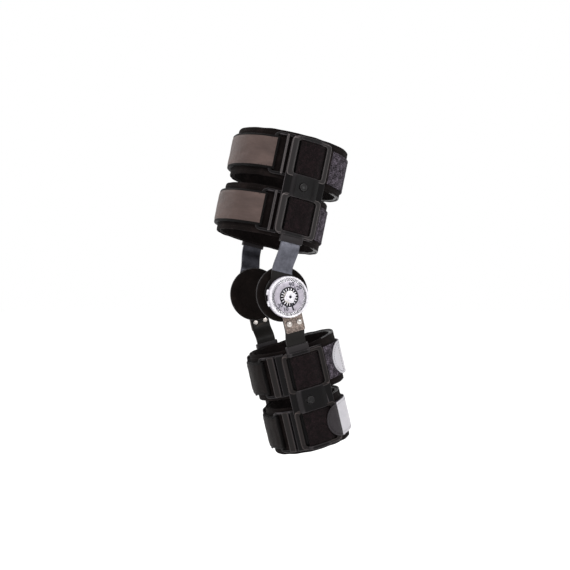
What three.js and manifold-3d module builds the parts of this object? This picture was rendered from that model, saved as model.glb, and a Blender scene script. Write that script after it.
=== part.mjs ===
// Hinged range-of-motion knee brace, in the shape it has on a bent leg.
// Millimetres, +Z up. The origin is on the knee's flexion axis, midway between the two hinges.
// +X is the outer (lateral) side of a left leg, -Y the front of the knee.
// Every piece is modelled on a straight leg, in the frame of its own segment: the thigh points up (+Z) and
// the calf down (-Z). Each segment is then turned back about the flexion axis by its own tilt.

import * as THREE from "three";
import { mergeVertices } from "three/addons/utils/BufferGeometryUtils.js";
import Module from "manifold-3d";

const wasm = await Module();
wasm.setup();

// ---- Driving dimensions ----------------------------------------------------------------------------------

const THIGH_TILT = THREE.MathUtils.degToRad(12.5);
const CALF_TILT = THREE.MathUtils.degToRad(14);
const GAP = 0.3; // clearance between pieces that touch

const WINDOW = 50; // height of the opening that each strap passes through
const BRIDGE = 34; // solid stretch of a side plate between its two openings
const MARGIN = 6; // solid stretch beyond each opening
const PLATE_LENGTH = 2 * MARGIN + 2 * WINDOW + BRIDGE;
const PLATE_FRONT = 26.5; // a side plate reaches this far forward of its middle, and PLATE_REAR behind it
const PLATE_REAR = 33;
const PLATE_CORNER = 12;
const RAIL_WIDTH = 8; // behind a window; the rail in front reaches from the plate's edge to windowFront
const STRAP_HEIGHT = 49;
const LINER_HEIGHT = 70;
const LINER_THICKNESS = 7;

const BAR_WIDTH = 30;
const BAR_THICKNESS = 3;
const CHANNEL_WALL = 4; // beside the upright, inside the plate
const COVER = 4.4; // over the upright, from its outer face
const NOSE = { length: 9, wall: 2.0 }; // the guide that an upright enters its plate through
const BUTTON = { radius: 5.5, seat: 2.6, proud: 1.8 };
const UPRIGHT_HOLES = [-36, -24, -12, 0, 12, 24, 36]; // the lock button's positions, from the plate's middle
const UPRIGHT_HOLE_RADIUS = 2.6;
const RIVET = { shank: 2.2, head: 4.4, height: 2.0, tail: 3.6, tailHeight: 1.2 };
const RIVETS = [[-6, -39], [10, -39]];
const RIM_SEGMENTS = 28; // facets of the dial's round parts

// Heights above the liner's outer surface, from the skin side out.
const LEVEL = {
  baseIn: 0.5,
  baseOut: 2.5,
  wingIn: 2.3,
  wingOut: 4.8,
  tunnelOut: 5.4,
  railOut: 8.4,
  rearIn: 0.4,
  rearThickness: 2.0,
  frontIn: 0.4,
  frontOut: 6.6,
  closureIn: 3.6,
  closureThickness: 1.6,
};

// The hinge is a stack of thin pieces along X. Each entry is [inner face, outer face].
const STACK = {
  pad: [50, 62.8],
  padPlate: [63.1, 65.3],
  thighHead: [65.6, 68.6],
  washer: [68.9, 69.7],
  calfPlate: [70.0, 72.0],
  dialBase: [72.3, 74.3],
  extensionStop: [74.6, 76.0],
  flexionStop: [76.3, 77.7],
  dialCover: [78.0, 80.6],
  springWasher: [80.9, 82.0],
  knob: [82.3, 86.3],
};
const PAD_RADIUS = 40;
const PAD_PLATE_RADIUS = 30;
const PAD_CENTRE = { y: -2, z: 4 }; // the pad sits a little in front of the pivot and above it
const DIAL_RADIUS = 30;
const THIGH_HEAD_RADIUS = 24;
const CALF_HEAD_RADIUS = 27;
const PIN_RADIUS = 4;
const STOP_RING = [21, 29.4];
const HUB_RADIUS = 20.6;
const TAB_REACH = 33.2;
const EXTENSION_TAB_ANGLE = 26; // where each stop's finger tab stands at rest, above the front
const FLEXION_TAB_ANGLE = -4;

// A limb's section has its own front and rear depth. barY is where the upright runs, plateY the plate's
// middle.
// windowFront, and the wing's groove, slot and end, are distances forward of the plate's middle.
const THIGH = {
  name: "thigh",
  sign: 1,
  middleY: -15,
  halfWidth: 74,
  barY: -14,
  barIn: 77.0,
  headX: STACK.thighHead[0],
  plateY: -14,
  plateStart: 85,
  plateFront: 84,
  plateRear: 89,
  windowFront: 17,
  wing: { groove: [27.3, 31], slot: [35, 47], end: 52 },
  barEnd: 214,
  joggle: [36, 70],
  tilt: -THIGH_TILT,
};
const CALF = {
  name: "calf",
  sign: -1,
  middleY: 8,
  halfWidth: 56,
  barY: 2,
  barIn: 59.4,
  headX: 66.7,
  plateY: 6,
  plateStart: 81,
  plateFront: 56,
  plateRear: 78,
  windowFront: 20.5,
  wing: { groove: [35, 36.8], slot: [47, 59], end: 64 },
  barEnd: 207,
  joggle: [46, 66],
  tilt: CALF_TILT,
};

// The four cuffs. order counts outwards from the knee. A closure strap lies on the limb from closureStart to
// CLOSURE_SEWN; the lower calf's reaches further forward, over its plate's rear rail, through leadIn.
const CUFFS = [
  { name: "lower_thigh", limb: THIGH, order: 0, front: 84, rear: 72, closureStart: 84, leadIn: [] },
  { name: "upper_thigh", limb: THIGH, order: 1, front: 81, rear: 89, closureStart: 84, leadIn: [] },
  { name: "upper_calf", limb: CALF, order: 0, front: 56, rear: 78, closureStart: 38, leadIn: [] },
  {
    name: "lower_calf",
    limb: CALF,
    order: 1,
    front: 50,
    rear: 66,
    closureStart: 50,
    leadIn: [[65.3, 19.5], [64.3, 26], [63.2, 32.5], [61, 39.2], [49.9, 50.4]],
  },
];
const CLOSURE_SEWN = 140;

const SLOT_HALF_HEIGHT = 27;
const WING_HALF_HEIGHT = 31;
const LOOP = { clearance: 0.4, side: 0.8, wall: 3.5 }; // the front strap's fold round its wing's bar
const TAB_RADIUS = STRAP_HEIGHT / 2;

// ---- Materials -------------------------------------------------------------------------------------------

const material = (color, roughness, metalness = 0, extra = {}) =>
  new THREE.MeshStandardMaterial({ color, roughness, metalness, ...extra });
const MATERIALS = {
  plate: material(0x1c1a1b, 0.45),
  foam: material(0x17110f, 0.95),
  loop: material(0x14100f, 1.0),
  pad: material(0x5a4946, 0.85),
  greyStrap: material(0xb9b6bc, 0.55),
  darkTab: material(0x3b3739, 0.6),
  bluedBar: material(0x6d7079, 0.4, 0.7),
  blackBar: material(0x16100f, 0.5, 0.3),
  steel: material(0x9a9088, 0.35, 0.9),
  rivet: material(0xc9bfb8, 0.25, 1.0),
  dial: material(0xc4c0c4, 0.35, 0.5),
  clear: material(0xe8eaee, 0.08, 0, { transparent: true, opacity: 0.4 }),
  stop: material(0xdedbe0, 0.4),
  black: material(0x141213, 0.7),
};

// ---- Solids ----------------------------------------------------------------------------------------------

// A closed three.js geometry as a manifold solid.
function solid(geometry) {
  const bare = geometry.index ? geometry.toNonIndexed() : geometry.clone();
  const position = new THREE.BufferGeometry().setAttribute("position", bare.getAttribute("position"));
  const merged = mergeVertices(position, 1e-4);
  return new wasm.Manifold(
    new wasm.Mesh({
      numProp: 3,
      vertProperties: merged.attributes.position.array,
      triVerts: new Uint32Array(merged.index.array),
    }),
  );
}

// A manifold solid as a three.js geometry.
function surface(made) {
  const mesh = made.getMesh();
  const points = new Float32Array(mesh.numVert * 3);
  for (let i = 0; i < mesh.numVert; i++) {
    points.set(mesh.vertProperties.subarray(i * mesh.numProp, i * mesh.numProp + 3), i * 3);
  }
  const geometry = new THREE.BufferGeometry()
    .setAttribute("position", new THREE.BufferAttribute(points, 3))
    .setIndex(new THREE.BufferAttribute(mesh.triVerts, 1));
  geometry.computeVertexNormals();
  return geometry;
}

const join = (...geometries) => surface(geometries.map(solid).reduce((a, b) => a.add(b)));
const cut = (body, ...tools) => surface(tools.map(solid).reduce((a, b) => a.subtract(b), solid(body)));
const common = (a, b) => surface(solid(a).intersect(solid(b)));

function box([x0, x1], [y0, y1], [z0, z1]) {
  const block = new THREE.BoxGeometry(x1 - x0, y1 - y0, z1 - z0);
  return block.translate((x0 + x1) / 2, (y0 + y1) / 2, (z0 + z1) / 2);
}

// A turned piece on the X axis from [radius, x] points that start and end on the axis or close on themselves.
function turned(profile, segments = RIM_SEGMENTS) {
  const points = profile.map(([radius, x]) => new THREE.Vector2(radius, x));
  return new THREE.LatheGeometry(points, segments).rotateZ(-Math.PI / 2);
}

// A disc or ring with its edges chamfered.
function disc(radius, [x0, x1], edge = 0.4, segments = RIM_SEGMENTS) {
  const inner = radius - edge;
  const points = [[0, x0], [inner, x0], [radius, x0 + edge], [radius, x1 - edge], [inner, x1], [0, x1]];
  return turned(points, segments);
}

function ring(outer, inner, [x0, x1], segments = RIM_SEGMENTS) {
  return turned([[inner, x0], [outer, x0], [outer, x1], [inner, x1], [inner, x0]], segments);
}

function rod(radius, [x0, x1], y, z, segments = 14) {
  return turned([[0, x0], [radius, x0], [radius, x1], [0, x1]], segments).translate(0, y, z);
}

// A plan outline in X and Y, extruded along Z.
function prism(outline, [z0, z1], holes = []) {
  const shape = new THREE.Shape(outline);
  shape.holes = holes.map((points) => new THREE.Path(points));
  return new THREE.ExtrudeGeometry(shape, { depth: z1 - z0, bevelEnabled: false }).translate(0, 0, z0);
}

// An outline of the segment's side view in Y and Z, extruded along X.
function sidePrism(outline, [x0, x1]) {
  const settings = { depth: x1 - x0, bevelEnabled: false, curveSegments: 6 };
  const geometry = new THREE.ExtrudeGeometry(outline, settings);
  return geometry.rotateX(Math.PI / 2).rotateZ(Math.PI / 2).translate(x0, 0, 0);
}

function roundedRectangle(halfWidth, halfHeight, radius, y = 0, z = 0) {
  const shape = new THREE.Shape();
  shape.moveTo(y - halfWidth + radius, z - halfHeight);
  shape.lineTo(y + halfWidth - radius, z - halfHeight);
  shape.absarc(y + halfWidth - radius, z - halfHeight + radius, radius, -Math.PI / 2, 0);
  shape.lineTo(y + halfWidth, z + halfHeight - radius);
  shape.absarc(y + halfWidth - radius, z + halfHeight - radius, radius, 0, Math.PI / 2);
  shape.lineTo(y - halfWidth + radius, z + halfHeight);
  shape.absarc(y - halfWidth + radius, z + halfHeight - radius, radius, Math.PI / 2, Math.PI);
  shape.lineTo(y - halfWidth, z - halfHeight + radius);
  shape.absarc(y - halfWidth + radius, z - halfHeight + radius, radius, Math.PI, 1.5 * Math.PI);
  return shape;
}

// ---- Limb outlines ---------------------------------------------------------------------------------------

// A point of a limb's section at an angle (0 lateral, 90 the rear, -90 the front) and a height above the liner.
function limbPoint({ middleY, halfWidth, front, rear }, degrees, height) {
  const angle = THREE.MathUtils.degToRad(degrees);
  const depth = Math.sin(angle) < 0 ? front : rear;
  const y = middleY + (depth + height) * Math.sin(angle);
  return new THREE.Vector2((halfWidth + height) * Math.cos(angle), y);
}

const section = (cuff) => ({ ...cuff.limb, front: cuff.front, rear: cuff.rear });
const plateSection = (limb) => ({ ...limb, front: limb.plateFront, rear: limb.plateRear });

// The angle at which a section reaches a given Y.
function angleAt({ middleY, front, rear }, y) {
  const depth = y < middleY ? front : rear;
  return THREE.MathUtils.radToDeg(Math.asin((y - middleY) / depth));
}

function arc(outline, from, to, height, step = 9) {
  const count = Math.max(2, Math.ceil(Math.abs(to - from) / step));
  const angle = (i) => from + ((to - from) * i) / count;
  return Array.from({ length: count + 1 }, (_, i) => limbPoint(outline, angle(i), height));
}

// A band round a limb between two angles and two heights.
function band(outline, [from, to], [low, high], zRange, step = 9) {
  return prism([...arc(outline, from, to, high, step), ...arc(outline, to, from, low, step)], zRange);
}

// A ribbon of even thickness along a stretch of a plan curve, which is the side that faces the limb.
function ribbon(curve, [from, to], thickness, zRange, samples) {
  const length = curve.getLength();
  const inner = [];
  const outer = [];
  for (let i = 0; i <= samples; i++) {
    const place = Math.min(1, (from + ((to - from) * i) / samples) / length);
    const point = curve.getPointAt(place);
    const tangent = curve.getTangentAt(place);
    inner.push(point);
    outer.push(new THREE.Vector2(point.x + tangent.y * thickness, point.y - tangent.x * thickness));
  }
  return prism([...outer, ...inner.reverse()], zRange);
}

const cuffMiddle = (cuff) =>
  cuff.limb.sign * (cuff.limb.plateStart + MARGIN + WINDOW / 2 + cuff.order * (WINDOW + BRIDGE));
const span = (middle, height) => [middle - height / 2, middle + height / 2];

// ---- Soft goods, each a plain closed solid of its true size -----------------------------------------------

function liner(cuff) {
  const outer = arc(section(cuff), -90, 270, 0, 8).slice(0, -1);
  const inner = arc(section(cuff), -90, 270, -LINER_THICKNESS, 8).slice(0, -1);
  return prism(outer, span(cuffMiddle(cuff), LINER_HEIGHT), [inner]);
}

const degreesPerMillimetre = ({ halfWidth, front }) => 360 / (Math.PI * (halfWidth + front));

// Where the wing's groove, strap slot and end lie, as angles forward of the limb's side.
function wingAngles(cuff) {
  const { limb } = cuff;
  const edge = angleAt(plateSection(limb), limb.plateY - PLATE_FRONT);
  const turn = degreesPerMillimetre(section(cuff));
  const at = (distance) => edge - (distance - PLATE_FRONT) * turn;
  return { groove: limb.wing.groove.map(at), slot: limb.wing.slot.map(at), end: at(limb.wing.end), turn };
}

// The padded front strap: doubled round the outer bar of each plate's wing, so it has a hole for each bar.
function frontStrap(cuff) {
  const outline = section(cuff);
  const { slot, end: barEnd, turn } = wingAngles(cuff);
  const end = slot[1] + LOOP.wall * turn;
  const start = -180 - end;
  const side = LOOP.side * turn;
  const hole = (from, to) => [
    ...arc(outline, from, to, LEVEL.wingOut + LOOP.clearance, 6),
    ...arc(outline, to, from, LEVEL.wingIn - LOOP.clearance, 6),
  ];
  const body = [...arc(outline, start, end, LEVEL.frontOut), ...arc(outline, end, start, LEVEL.frontIn)];
  const holes = [hole(barEnd - side, slot[1] + side), hole(-180 - slot[1] - side, -180 - barEnd + side)];
  return prism(body, span(cuffMiddle(cuff), STRAP_HEIGHT), holes);
}

// The loop-faced rear strap: it covers the upright in both plates' windows and passes under their rear rails.
function rearStrap(cuff) {
  const { limb } = cuff;
  const outline = section(cuff);
  const plate = plateSection(limb);
  const overBar = limb.barIn + BAR_THICKNESS + GAP;
  const railY = limb.plateY + PLATE_REAR;
  const onBase = LEVEL.baseOut + GAP;
  const at = (source, y, height) => limbPoint(source, angleAt(source, y), height);
  const side = [
    new THREE.Vector2(overBar, limb.barY - BAR_WIDTH / 2 - 0.6),
    new THREE.Vector2(overBar + 0.3, limb.barY),
    new THREE.Vector2(overBar, limb.barY + BAR_WIDTH / 2 + 1),
    at(plate, railY - RAIL_WIDTH - 1, onBase + 0.2),
    at(plate, railY - RAIL_WIDTH / 2, onBase),
    at(plate, railY + 1, onBase + 0.2),
    at(outline, railY + 9, LEVEL.rearIn + 0.4),
  ];
  const first = angleAt(outline, railY + 18);
  const rear = arc(outline, first, 180 - first, LEVEL.rearIn, 12);
  const mirrored = side.map((point) => new THREE.Vector2(-point.x, point.y)).reverse();
  const curve = new THREE.SplineCurve([...side, ...rear, ...mirrored]);
  return ribbon(curve, [0, curve.getLength()], LEVEL.rearThickness, span(cuffMiddle(cuff), STRAP_HEIGHT), 46);
}

// The closure strap's line, from the tip of its tab round the back of the limb.
function closureCurve(cuff) {
  const leadIn = cuff.leadIn.map(([x, y]) => new THREE.Vector2(x, y));
  const onLimb = arc(section(cuff), cuff.closureStart, CLOSURE_SEWN, LEVEL.closureIn, 6);
  return new THREE.SplineCurve([...leadIn, ...onLimb]);
}

// The closure strap, sewn to the rear strap on the medial side and drawn round the back of the limb.
function closureStrap(cuff) {
  const curve = closureCurve(cuff);
  const stretch = [TAB_RADIUS + GAP, curve.getLength()];
  return ribbon(curve, stretch, LEVEL.closureThickness, span(cuffMiddle(cuff), STRAP_HEIGHT), 22);
}

// The stiff hook tab at the closure strap's end, with a half-round outline.
function closureTab(cuff) {
  const curve = closureCurve(cuff);
  const middle = cuffMiddle(cuff);
  const strip = ribbon(curve, [0, TAB_RADIUS], LEVEL.closureThickness, span(middle, STRAP_HEIGHT), 6);
  const seam = curve.getPointAt(TAB_RADIUS / curve.getLength());
  const along = seam.clone().sub(curve.getPointAt(0)).normalize();
  const radius = TAB_RADIUS - GAP;
  const round = new THREE.CylinderGeometry(radius, radius, 2 * TAB_RADIUS, 28)
    .rotateZ(Math.PI / 2)
    .rotateZ(Math.atan2(-along.x, along.y))
    .translate(seam.x, seam.y, middle);
  return common(strip, round);
}

// ---- Side plates -----------------------------------------------------------------------------------------

// A moulded plate on the lateral side, with a window for each cuff and the channel that the upright slides in.
function sidePlate(limb) {
  const plate = plateSection(limb);
  const low = limb.plateY - PLATE_FRONT;
  const high = limb.plateY + PLATE_REAR;
  const angle = (y) => angleAt(plate, y);
  const middle = limb.sign * (limb.plateStart + PLATE_LENGTH / 2);
  const whole = span(middle, PLATE_LENGTH);
  const cuffs = CUFFS.filter((cuff) => cuff.limb === limb);
  const windows = cuffs.map((cuff) => span(cuffMiddle(cuff), WINDOW));
  const outer = limb.barIn + BAR_THICKNESS;
  const halfChannel = BAR_WIDTH / 2 + GAP;

  const block = join(
    band(plate, [angle(low), angle(high)], [LEVEL.baseIn, LEVEL.railOut], whole),
    box([limb.halfWidth + LEVEL.baseIn, outer + COVER], span(limb.barY, BAR_WIDTH + 2 * CHANNEL_WALL), whole),
  );
  const plateWidth = PLATE_FRONT + PLATE_REAR;
  const face = roundedRectangle(plateWidth / 2 + 1, PLATE_LENGTH / 2, PLATE_CORNER, (low + high) / 2, middle);
  const windowAngles = [angle(limb.plateY - limb.windowFront), angle(high - RAIL_WIDTH)];
  const openings = windows.map((zRange) => band(plate, windowAngles, [LEVEL.baseOut, 30], zRange));
  const tunnels = windows.map((zRange) =>
    band(plate, [angle(high - RAIL_WIDTH - 2), angle(high) + 6], [LEVEL.baseOut, LEVEL.tunnelOut], zRange));
  const channel = box([limb.barIn - GAP, outer + GAP], [limb.barY - halfChannel, limb.barY + halfChannel],
    span(middle, PLATE_LENGTH + 2));
  const buttonHole = rod(BUTTON.radius + GAP, [outer, outer + COVER + 2], limb.barY, middle);
  const body = cut(common(block, sidePrism(face, [10, 100])), ...openings, ...tunnels, channel, buttonHole);
  return join(body, ...cuffs.map(wing), nose(limb));
}

// A slotted wing in front of the plate, one for each front strap.
function wing(cuff) {
  const outline = section(cuff);
  const { groove, slot, end } = wingAngles(cuff);
  const middle = cuffMiddle(cuff);
  const root = angleAt(plateSection(cuff.limb), cuff.limb.plateY - PLATE_FRONT + 3);
  const levels = [LEVEL.wingIn, LEVEL.wingOut];
  const leaf = band(outline, [end, root], levels, span(middle, 2 * WING_HALF_HEIGHT), 4);
  const [grooveCut, slotCut] = [groove, slot].map(([from, to]) =>
    band(outline, [to, from], [0, 12], span(middle, 2 * SLOT_HALF_HEIGHT), 4));
  return cut(leaf, grooveCut, slotCut);
}

// The short guide that the upright slides through at the plate's knee end.
function nose(limb) {
  const start = limb.sign * (limb.plateStart + 1);
  const end = limb.sign * (limb.plateStart - NOSE.length);
  const zRange = [Math.min(start, end), Math.max(start, end)];
  const halfWidth = BAR_WIDTH / 2 + GAP;
  const inner = [limb.barIn - GAP, limb.barIn + BAR_THICKNESS + GAP];
  const shell = box([inner[0] - NOSE.wall, inner[1] + NOSE.wall],
    [limb.barY - halfWidth - NOSE.wall, limb.barY + halfWidth + NOSE.wall], zRange);
  const opening = box(inner, [limb.barY - halfWidth, limb.barY + halfWidth], [zRange[0] - 1, zRange[1] + 1]);
  return cut(shell, opening);
}

// ---- Uprights and hinge ----------------------------------------------------------------------------------

// An upright's side profile, with the joggle between the hinge head and the plate, extruded across its width.
function upright(limb, from) {
  const { sign, headX, barIn, barY, joggle } = limb;
  const inner = [[headX, from], [headX, joggle[0]], [barIn, joggle[1]], [barIn, limb.barEnd]];
  const outer = inner.map(([x, z]) => [x + BAR_THICKNESS, z]).reverse();
  const shape = new THREE.Shape([...inner, ...outer].map(([x, z]) => new THREE.Vector2(x, sign * z)));
  const bar = new THREE.ExtrudeGeometry(shape, { depth: BAR_WIDTH, bevelEnabled: false })
    .rotateX(Math.PI / 2)
    .translate(0, barY + BAR_WIDTH / 2, 0);
  const middle = limb.plateStart + PLATE_LENGTH / 2;
  const holes = UPRIGHT_HOLES.map((step) =>
    rod(UPRIGHT_HOLE_RADIUS, [barIn - 2, barIn + BAR_THICKNESS + 2], barY, sign * (middle + step), 8));
  return cut(bar, ...holes);
}

function thighBar() {
  const bar = upright(THIGH, 2);
  const head = disc(THIGH_HEAD_RADIUS, STACK.thighHead);
  return cut(join(bar, head), rod(PIN_RADIUS + GAP, [60, 75], 0, 0));
}

function calfBar() {
  const bar = upright(CALF, 31);
  return cut(bar, ...RIVETS.map(([y, z]) => rod(RIVET.shank + GAP, [60, 75], y, z, 12)));
}

// The stainless hinge plate: a round head under the dial and a tongue riveted to the calf upright.
function calfHingePlate() {
  const tongue = sidePrism(roundedRectangle(BAR_WIDTH / 2, 18, 1.5, CALF.barY, -34), STACK.calfPlate);
  return cut(
    join(disc(CALF_HEAD_RADIUS, STACK.calfPlate, 0.3), tongue),
    rod(PIN_RADIUS + GAP, [60, 80], 0, 0),
    ...RIVETS.map(([y, z]) => rod(RIVET.shank + GAP, [60, 80], y, z, 12)),
  );
}

function rivet([y, z]) {
  const outer = STACK.calfPlate[1] + GAP;
  const tail = CALF.headX - GAP;
  return turned([
    [0, tail - RIVET.tailHeight], [RIVET.tail, tail - RIVET.tailHeight], [RIVET.tail, tail],
    [RIVET.shank, tail], [RIVET.shank, outer],
    [RIVET.head, outer], [RIVET.head - 0.5, outer + 1.1], [RIVET.head - 1.9, outer + RIVET.height - 0.2],
    [0, outer + RIVET.height],
  ], 12).translate(0, y, z);
}

function pivotPin() {
  return turned([
    [0, STACK.padPlate[0] + 0.2], [8, STACK.padPlate[0] + 0.2], [8, STACK.padPlate[1]],
    [PIN_RADIUS, STACK.padPlate[1]], [PIN_RADIUS, STACK.knob[0] + 1.6], [0, STACK.knob[0] + 1.6],
  ], 14);
}

function condylePad() {
  const [inner, outer] = STACK.pad;
  const points = [[0, inner]];
  const radius = 5;
  for (let i = 0; i <= 3; i++) {
    const angle = (i / 3) * (Math.PI / 2);
    points.push([PAD_RADIUS - radius + radius * Math.sin(angle), inner + radius - radius * Math.cos(angle)]);
  }
  points.push([PAD_RADIUS, outer - 2], [PAD_RADIUS - 1.5, outer], [0, outer]);
  return turned(points).translate(0, PAD_CENTRE.y, PAD_CENTRE.z);
}

function padPlate() {
  const plate = disc(PAD_PLATE_RADIUS, STACK.padPlate).translate(0, PAD_CENTRE.y, PAD_CENTRE.z);
  return cut(plate, rod(8 + GAP, [55, 75], 0, 0));
}

function dialBase() {
  const [inner, outer] = STACK.dialBase;
  const top = STACK.flexionStop[1];
  const hole = PIN_RADIUS + GAP;
  return turned([
    [hole, inner], [DIAL_RADIUS, inner], [DIAL_RADIUS, outer], [HUB_RADIUS, outer],
    [HUB_RADIUS, top], [hole, top], [hole, inner],
  ]);
}

// A stop ring with the finger tab that sets it, at an angle from the front (-Y), positive upwards.
function stopRing(levels, degrees) {
  const tab = sidePrism(roundedRectangle(3, 4, 1.2, -TAB_REACH + 3, 0), levels);
  tab.rotateX(THREE.MathUtils.degToRad(-degrees));
  return join(ring(STOP_RING[1], STOP_RING[0], levels), tab);
}

function dialCover() {
  const [inner, outer] = STACK.dialCover;
  const hole = PIN_RADIUS + GAP;
  return turned([
    [hole, inner], [DIAL_RADIUS, inner], [DIAL_RADIUS, outer + 0.6], [DIAL_RADIUS - 1.2, outer + 1.4],
    [DIAL_RADIUS - 3.6, outer + 1.4], [DIAL_RADIUS - 4.4, outer], [hole, outer], [hole, inner],
  ]);
}

function springWasher() {
  const [inner, outer] = STACK.springWasher;
  return turned([[5, inner + 0.5], [9, inner], [9, inner + 0.6], [5, outer], [5, inner + 0.5]], 20);
}

// The central knob: a rounded square standing on its corner, with a blind socket for the pin.
function knob() {
  const [inner, outer] = STACK.knob;
  const square = sidePrism(roundedRectangle(7.6, 7.6, 2.4), [inner, outer]).rotateX(Math.PI / 4 + 0.12);
  const crown = turned([[0, inner - 1], [12, inner - 1], [12, inner + 1.5], [7.5, outer], [0, outer]], 24);
  return cut(common(square, crown), rod(PIN_RADIUS + GAP, [inner - 1, inner + 2], 0, 0));
}

function lengthButton(limb) {
  const middle = limb.sign * (limb.plateStart + PLATE_LENGTH / 2);
  const face = limb.barIn + BAR_THICKNESS;
  const levels = [face + BUTTON.seat, face + COVER + BUTTON.proud];
  return disc(BUTTON.radius, levels, 0.7, 14).translate(0, limb.barY, middle);
}

// ---- Assembly --------------------------------------------------------------------------------------------

const kneeBrace = new THREE.Group();
const segments = Object.fromEntries([THIGH, CALF].map((limb) => {
  const group = new THREE.Group();
  group.rotation.x = limb.tilt;
  kneeBrace.add(group);
  return [limb.name, group];
}));

function addPiece(group, name, geometry, surfaceMaterial) {
  const mesh = new THREE.Mesh(geometry, surfaceMaterial);
  mesh.name = name;
  group.add(mesh);
}

for (const side of ["lateral", "medial"]) {
  const groups = Object.fromEntries(Object.entries(segments).map(([name, segment]) => {
    const group = new THREE.Group();
    group.scale.x = side === "lateral" ? 1 : -1;
    segment.add(group);
    return [name, group];
  }));
  const { thigh, calf } = groups;
  addPiece(thigh, `${side}_thigh_plate`, sidePlate(THIGH), MATERIALS.plate);
  addPiece(thigh, `${side}_thigh_bar`, thighBar(), MATERIALS.bluedBar);
  addPiece(thigh, `${side}_thigh_length_button`, lengthButton(THIGH), MATERIALS.black);
  addPiece(thigh, `${side}_condyle_pad`, condylePad(), MATERIALS.foam);
  addPiece(thigh, `${side}_pad_plate`, padPlate(), MATERIALS.plate);
  addPiece(thigh, `${side}_pivot_pin`, pivotPin(), MATERIALS.rivet);
  addPiece(thigh, `${side}_pivot_washer`, ring(14, PIN_RADIUS + GAP, STACK.washer, 20), MATERIALS.stop);
  addPiece(calf, `${side}_calf_hinge_plate`, calfHingePlate(), MATERIALS.steel);
  addPiece(calf, `${side}_calf_bar`, calfBar(), MATERIALS.blackBar);
  RIVETS.forEach((place, i) => addPiece(calf, `${side}_calf_rivet_${i + 1}`, rivet(place), MATERIALS.rivet));
  addPiece(calf, `${side}_dial_base`, dialBase(), MATERIALS.dial);
  const { extensionStop, flexionStop } = STACK;
  addPiece(calf, `${side}_extension_stop`, stopRing(extensionStop, EXTENSION_TAB_ANGLE), MATERIALS.stop);
  addPiece(calf, `${side}_flexion_stop`, stopRing(flexionStop, FLEXION_TAB_ANGLE), MATERIALS.stop);
  addPiece(calf, `${side}_dial_cover`, dialCover(), MATERIALS.clear);
  addPiece(calf, `${side}_spring_washer`, springWasher(), MATERIALS.rivet);
  addPiece(calf, `${side}_dial_knob`, knob(), MATERIALS.dial);
  addPiece(calf, `${side}_calf_plate`, sidePlate(CALF), MATERIALS.plate);
  addPiece(calf, `${side}_calf_length_button`, lengthButton(CALF), MATERIALS.black);
}

for (const cuff of CUFFS) {
  const group = segments[cuff.limb.name];
  const grey = cuff.limb === CALF;
  const closure = grey ? MATERIALS.greyStrap : MATERIALS.pad;
  addPiece(group, `${cuff.name}_liner`, liner(cuff), MATERIALS.foam);
  addPiece(group, `${cuff.name}_front_strap`, frontStrap(cuff), grey ? MATERIALS.plate : MATERIALS.pad);
  addPiece(group, `${cuff.name}_rear_strap`, rearStrap(cuff), MATERIALS.loop);
  addPiece(group, `${cuff.name}_closure_strap`, closureStrap(cuff), closure);
  addPiece(group, `${cuff.name}_closure_tab`, closureTab(cuff), grey ? MATERIALS.darkTab : MATERIALS.plate);
}

export default kneeBrace;
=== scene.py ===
"""Looks for the hinged range-of-motion knee brace: fabric, foam, moulded plates, uprights and dials.

Shapes are worked out in millimetres in the frame of their own segment on a straight leg (thigh up, calf
down, +X the lateral side, -Y the front) and are then tilted and scaled into the row's frame. Lateral pieces
are mirrored for the medial side. Flat goods are cut in a flat pattern (distance round the limb, height up
it, height above its surface) and wrapped on afterwards.
"""

import math
import random

import bmesh
import bpy
import numpy as np
from mathutils import Matrix, Vector, geometry


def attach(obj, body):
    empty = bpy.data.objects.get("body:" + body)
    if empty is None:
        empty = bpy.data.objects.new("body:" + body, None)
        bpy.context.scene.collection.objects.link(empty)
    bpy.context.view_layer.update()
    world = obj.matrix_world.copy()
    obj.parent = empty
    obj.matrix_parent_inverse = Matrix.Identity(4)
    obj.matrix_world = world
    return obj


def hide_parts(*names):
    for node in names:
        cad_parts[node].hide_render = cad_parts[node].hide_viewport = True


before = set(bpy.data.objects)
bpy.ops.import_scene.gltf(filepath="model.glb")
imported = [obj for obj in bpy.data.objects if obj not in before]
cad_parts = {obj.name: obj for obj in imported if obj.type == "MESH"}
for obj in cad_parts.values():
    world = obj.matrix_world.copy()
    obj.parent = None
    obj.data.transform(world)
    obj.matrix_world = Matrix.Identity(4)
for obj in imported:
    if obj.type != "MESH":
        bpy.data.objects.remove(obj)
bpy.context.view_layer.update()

random.seed(7)

# ---- Dimensions, as in the CAD model (millimetres) ---------------------------------------------

GAP = 0.3
WINDOW = 50
BRIDGE = 34
MARGIN = 6
PLATE_LENGTH = 2 * MARGIN + 2 * WINDOW + BRIDGE
PLATE_FRONT, PLATE_REAR, PLATE_CORNER, RAIL_WIDTH = 26.5, 33, 12, 8
STRAP_HEIGHT = 49
LINER_HEIGHT = 70
LINER_THICKNESS = 7
LINER_SEAM, FRONT_SEAM, REAR_SEAM, CLOSURE_SEAM, TAB_SEAM = 5, 4.0, 2.1, 3.4, 3.2
BAR_WIDTH = 30
BAR_THICKNESS = 3
SLOT_HALF_HEIGHT, WING_HALF_HEIGHT = 27, 31
LOOP_CLEARANCE, LOOP_SIDE, LOOP_WALL = 0.4, 0.8, 3.5
TAB_RADIUS = STRAP_HEIGHT / 2
PAD_CENTRE, PAD_RADIUS = (-2, 4), 40
PRINT_HEIGHT = 0.12
THIGH_HEAD_RADIUS, CALF_HEAD_RADIUS, DIAL_RADIUS = 24, 27, 30
PIN_RADIUS, PIN_HEAD_RADIUS = 4, 8
PIVOT_HOLE, RIVET_HOLE, LOCK_HOLE = PIN_RADIUS + GAP, 2.5, 2.6
STOP_INNER, STOP_OUTER = 21, 29.4
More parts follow.
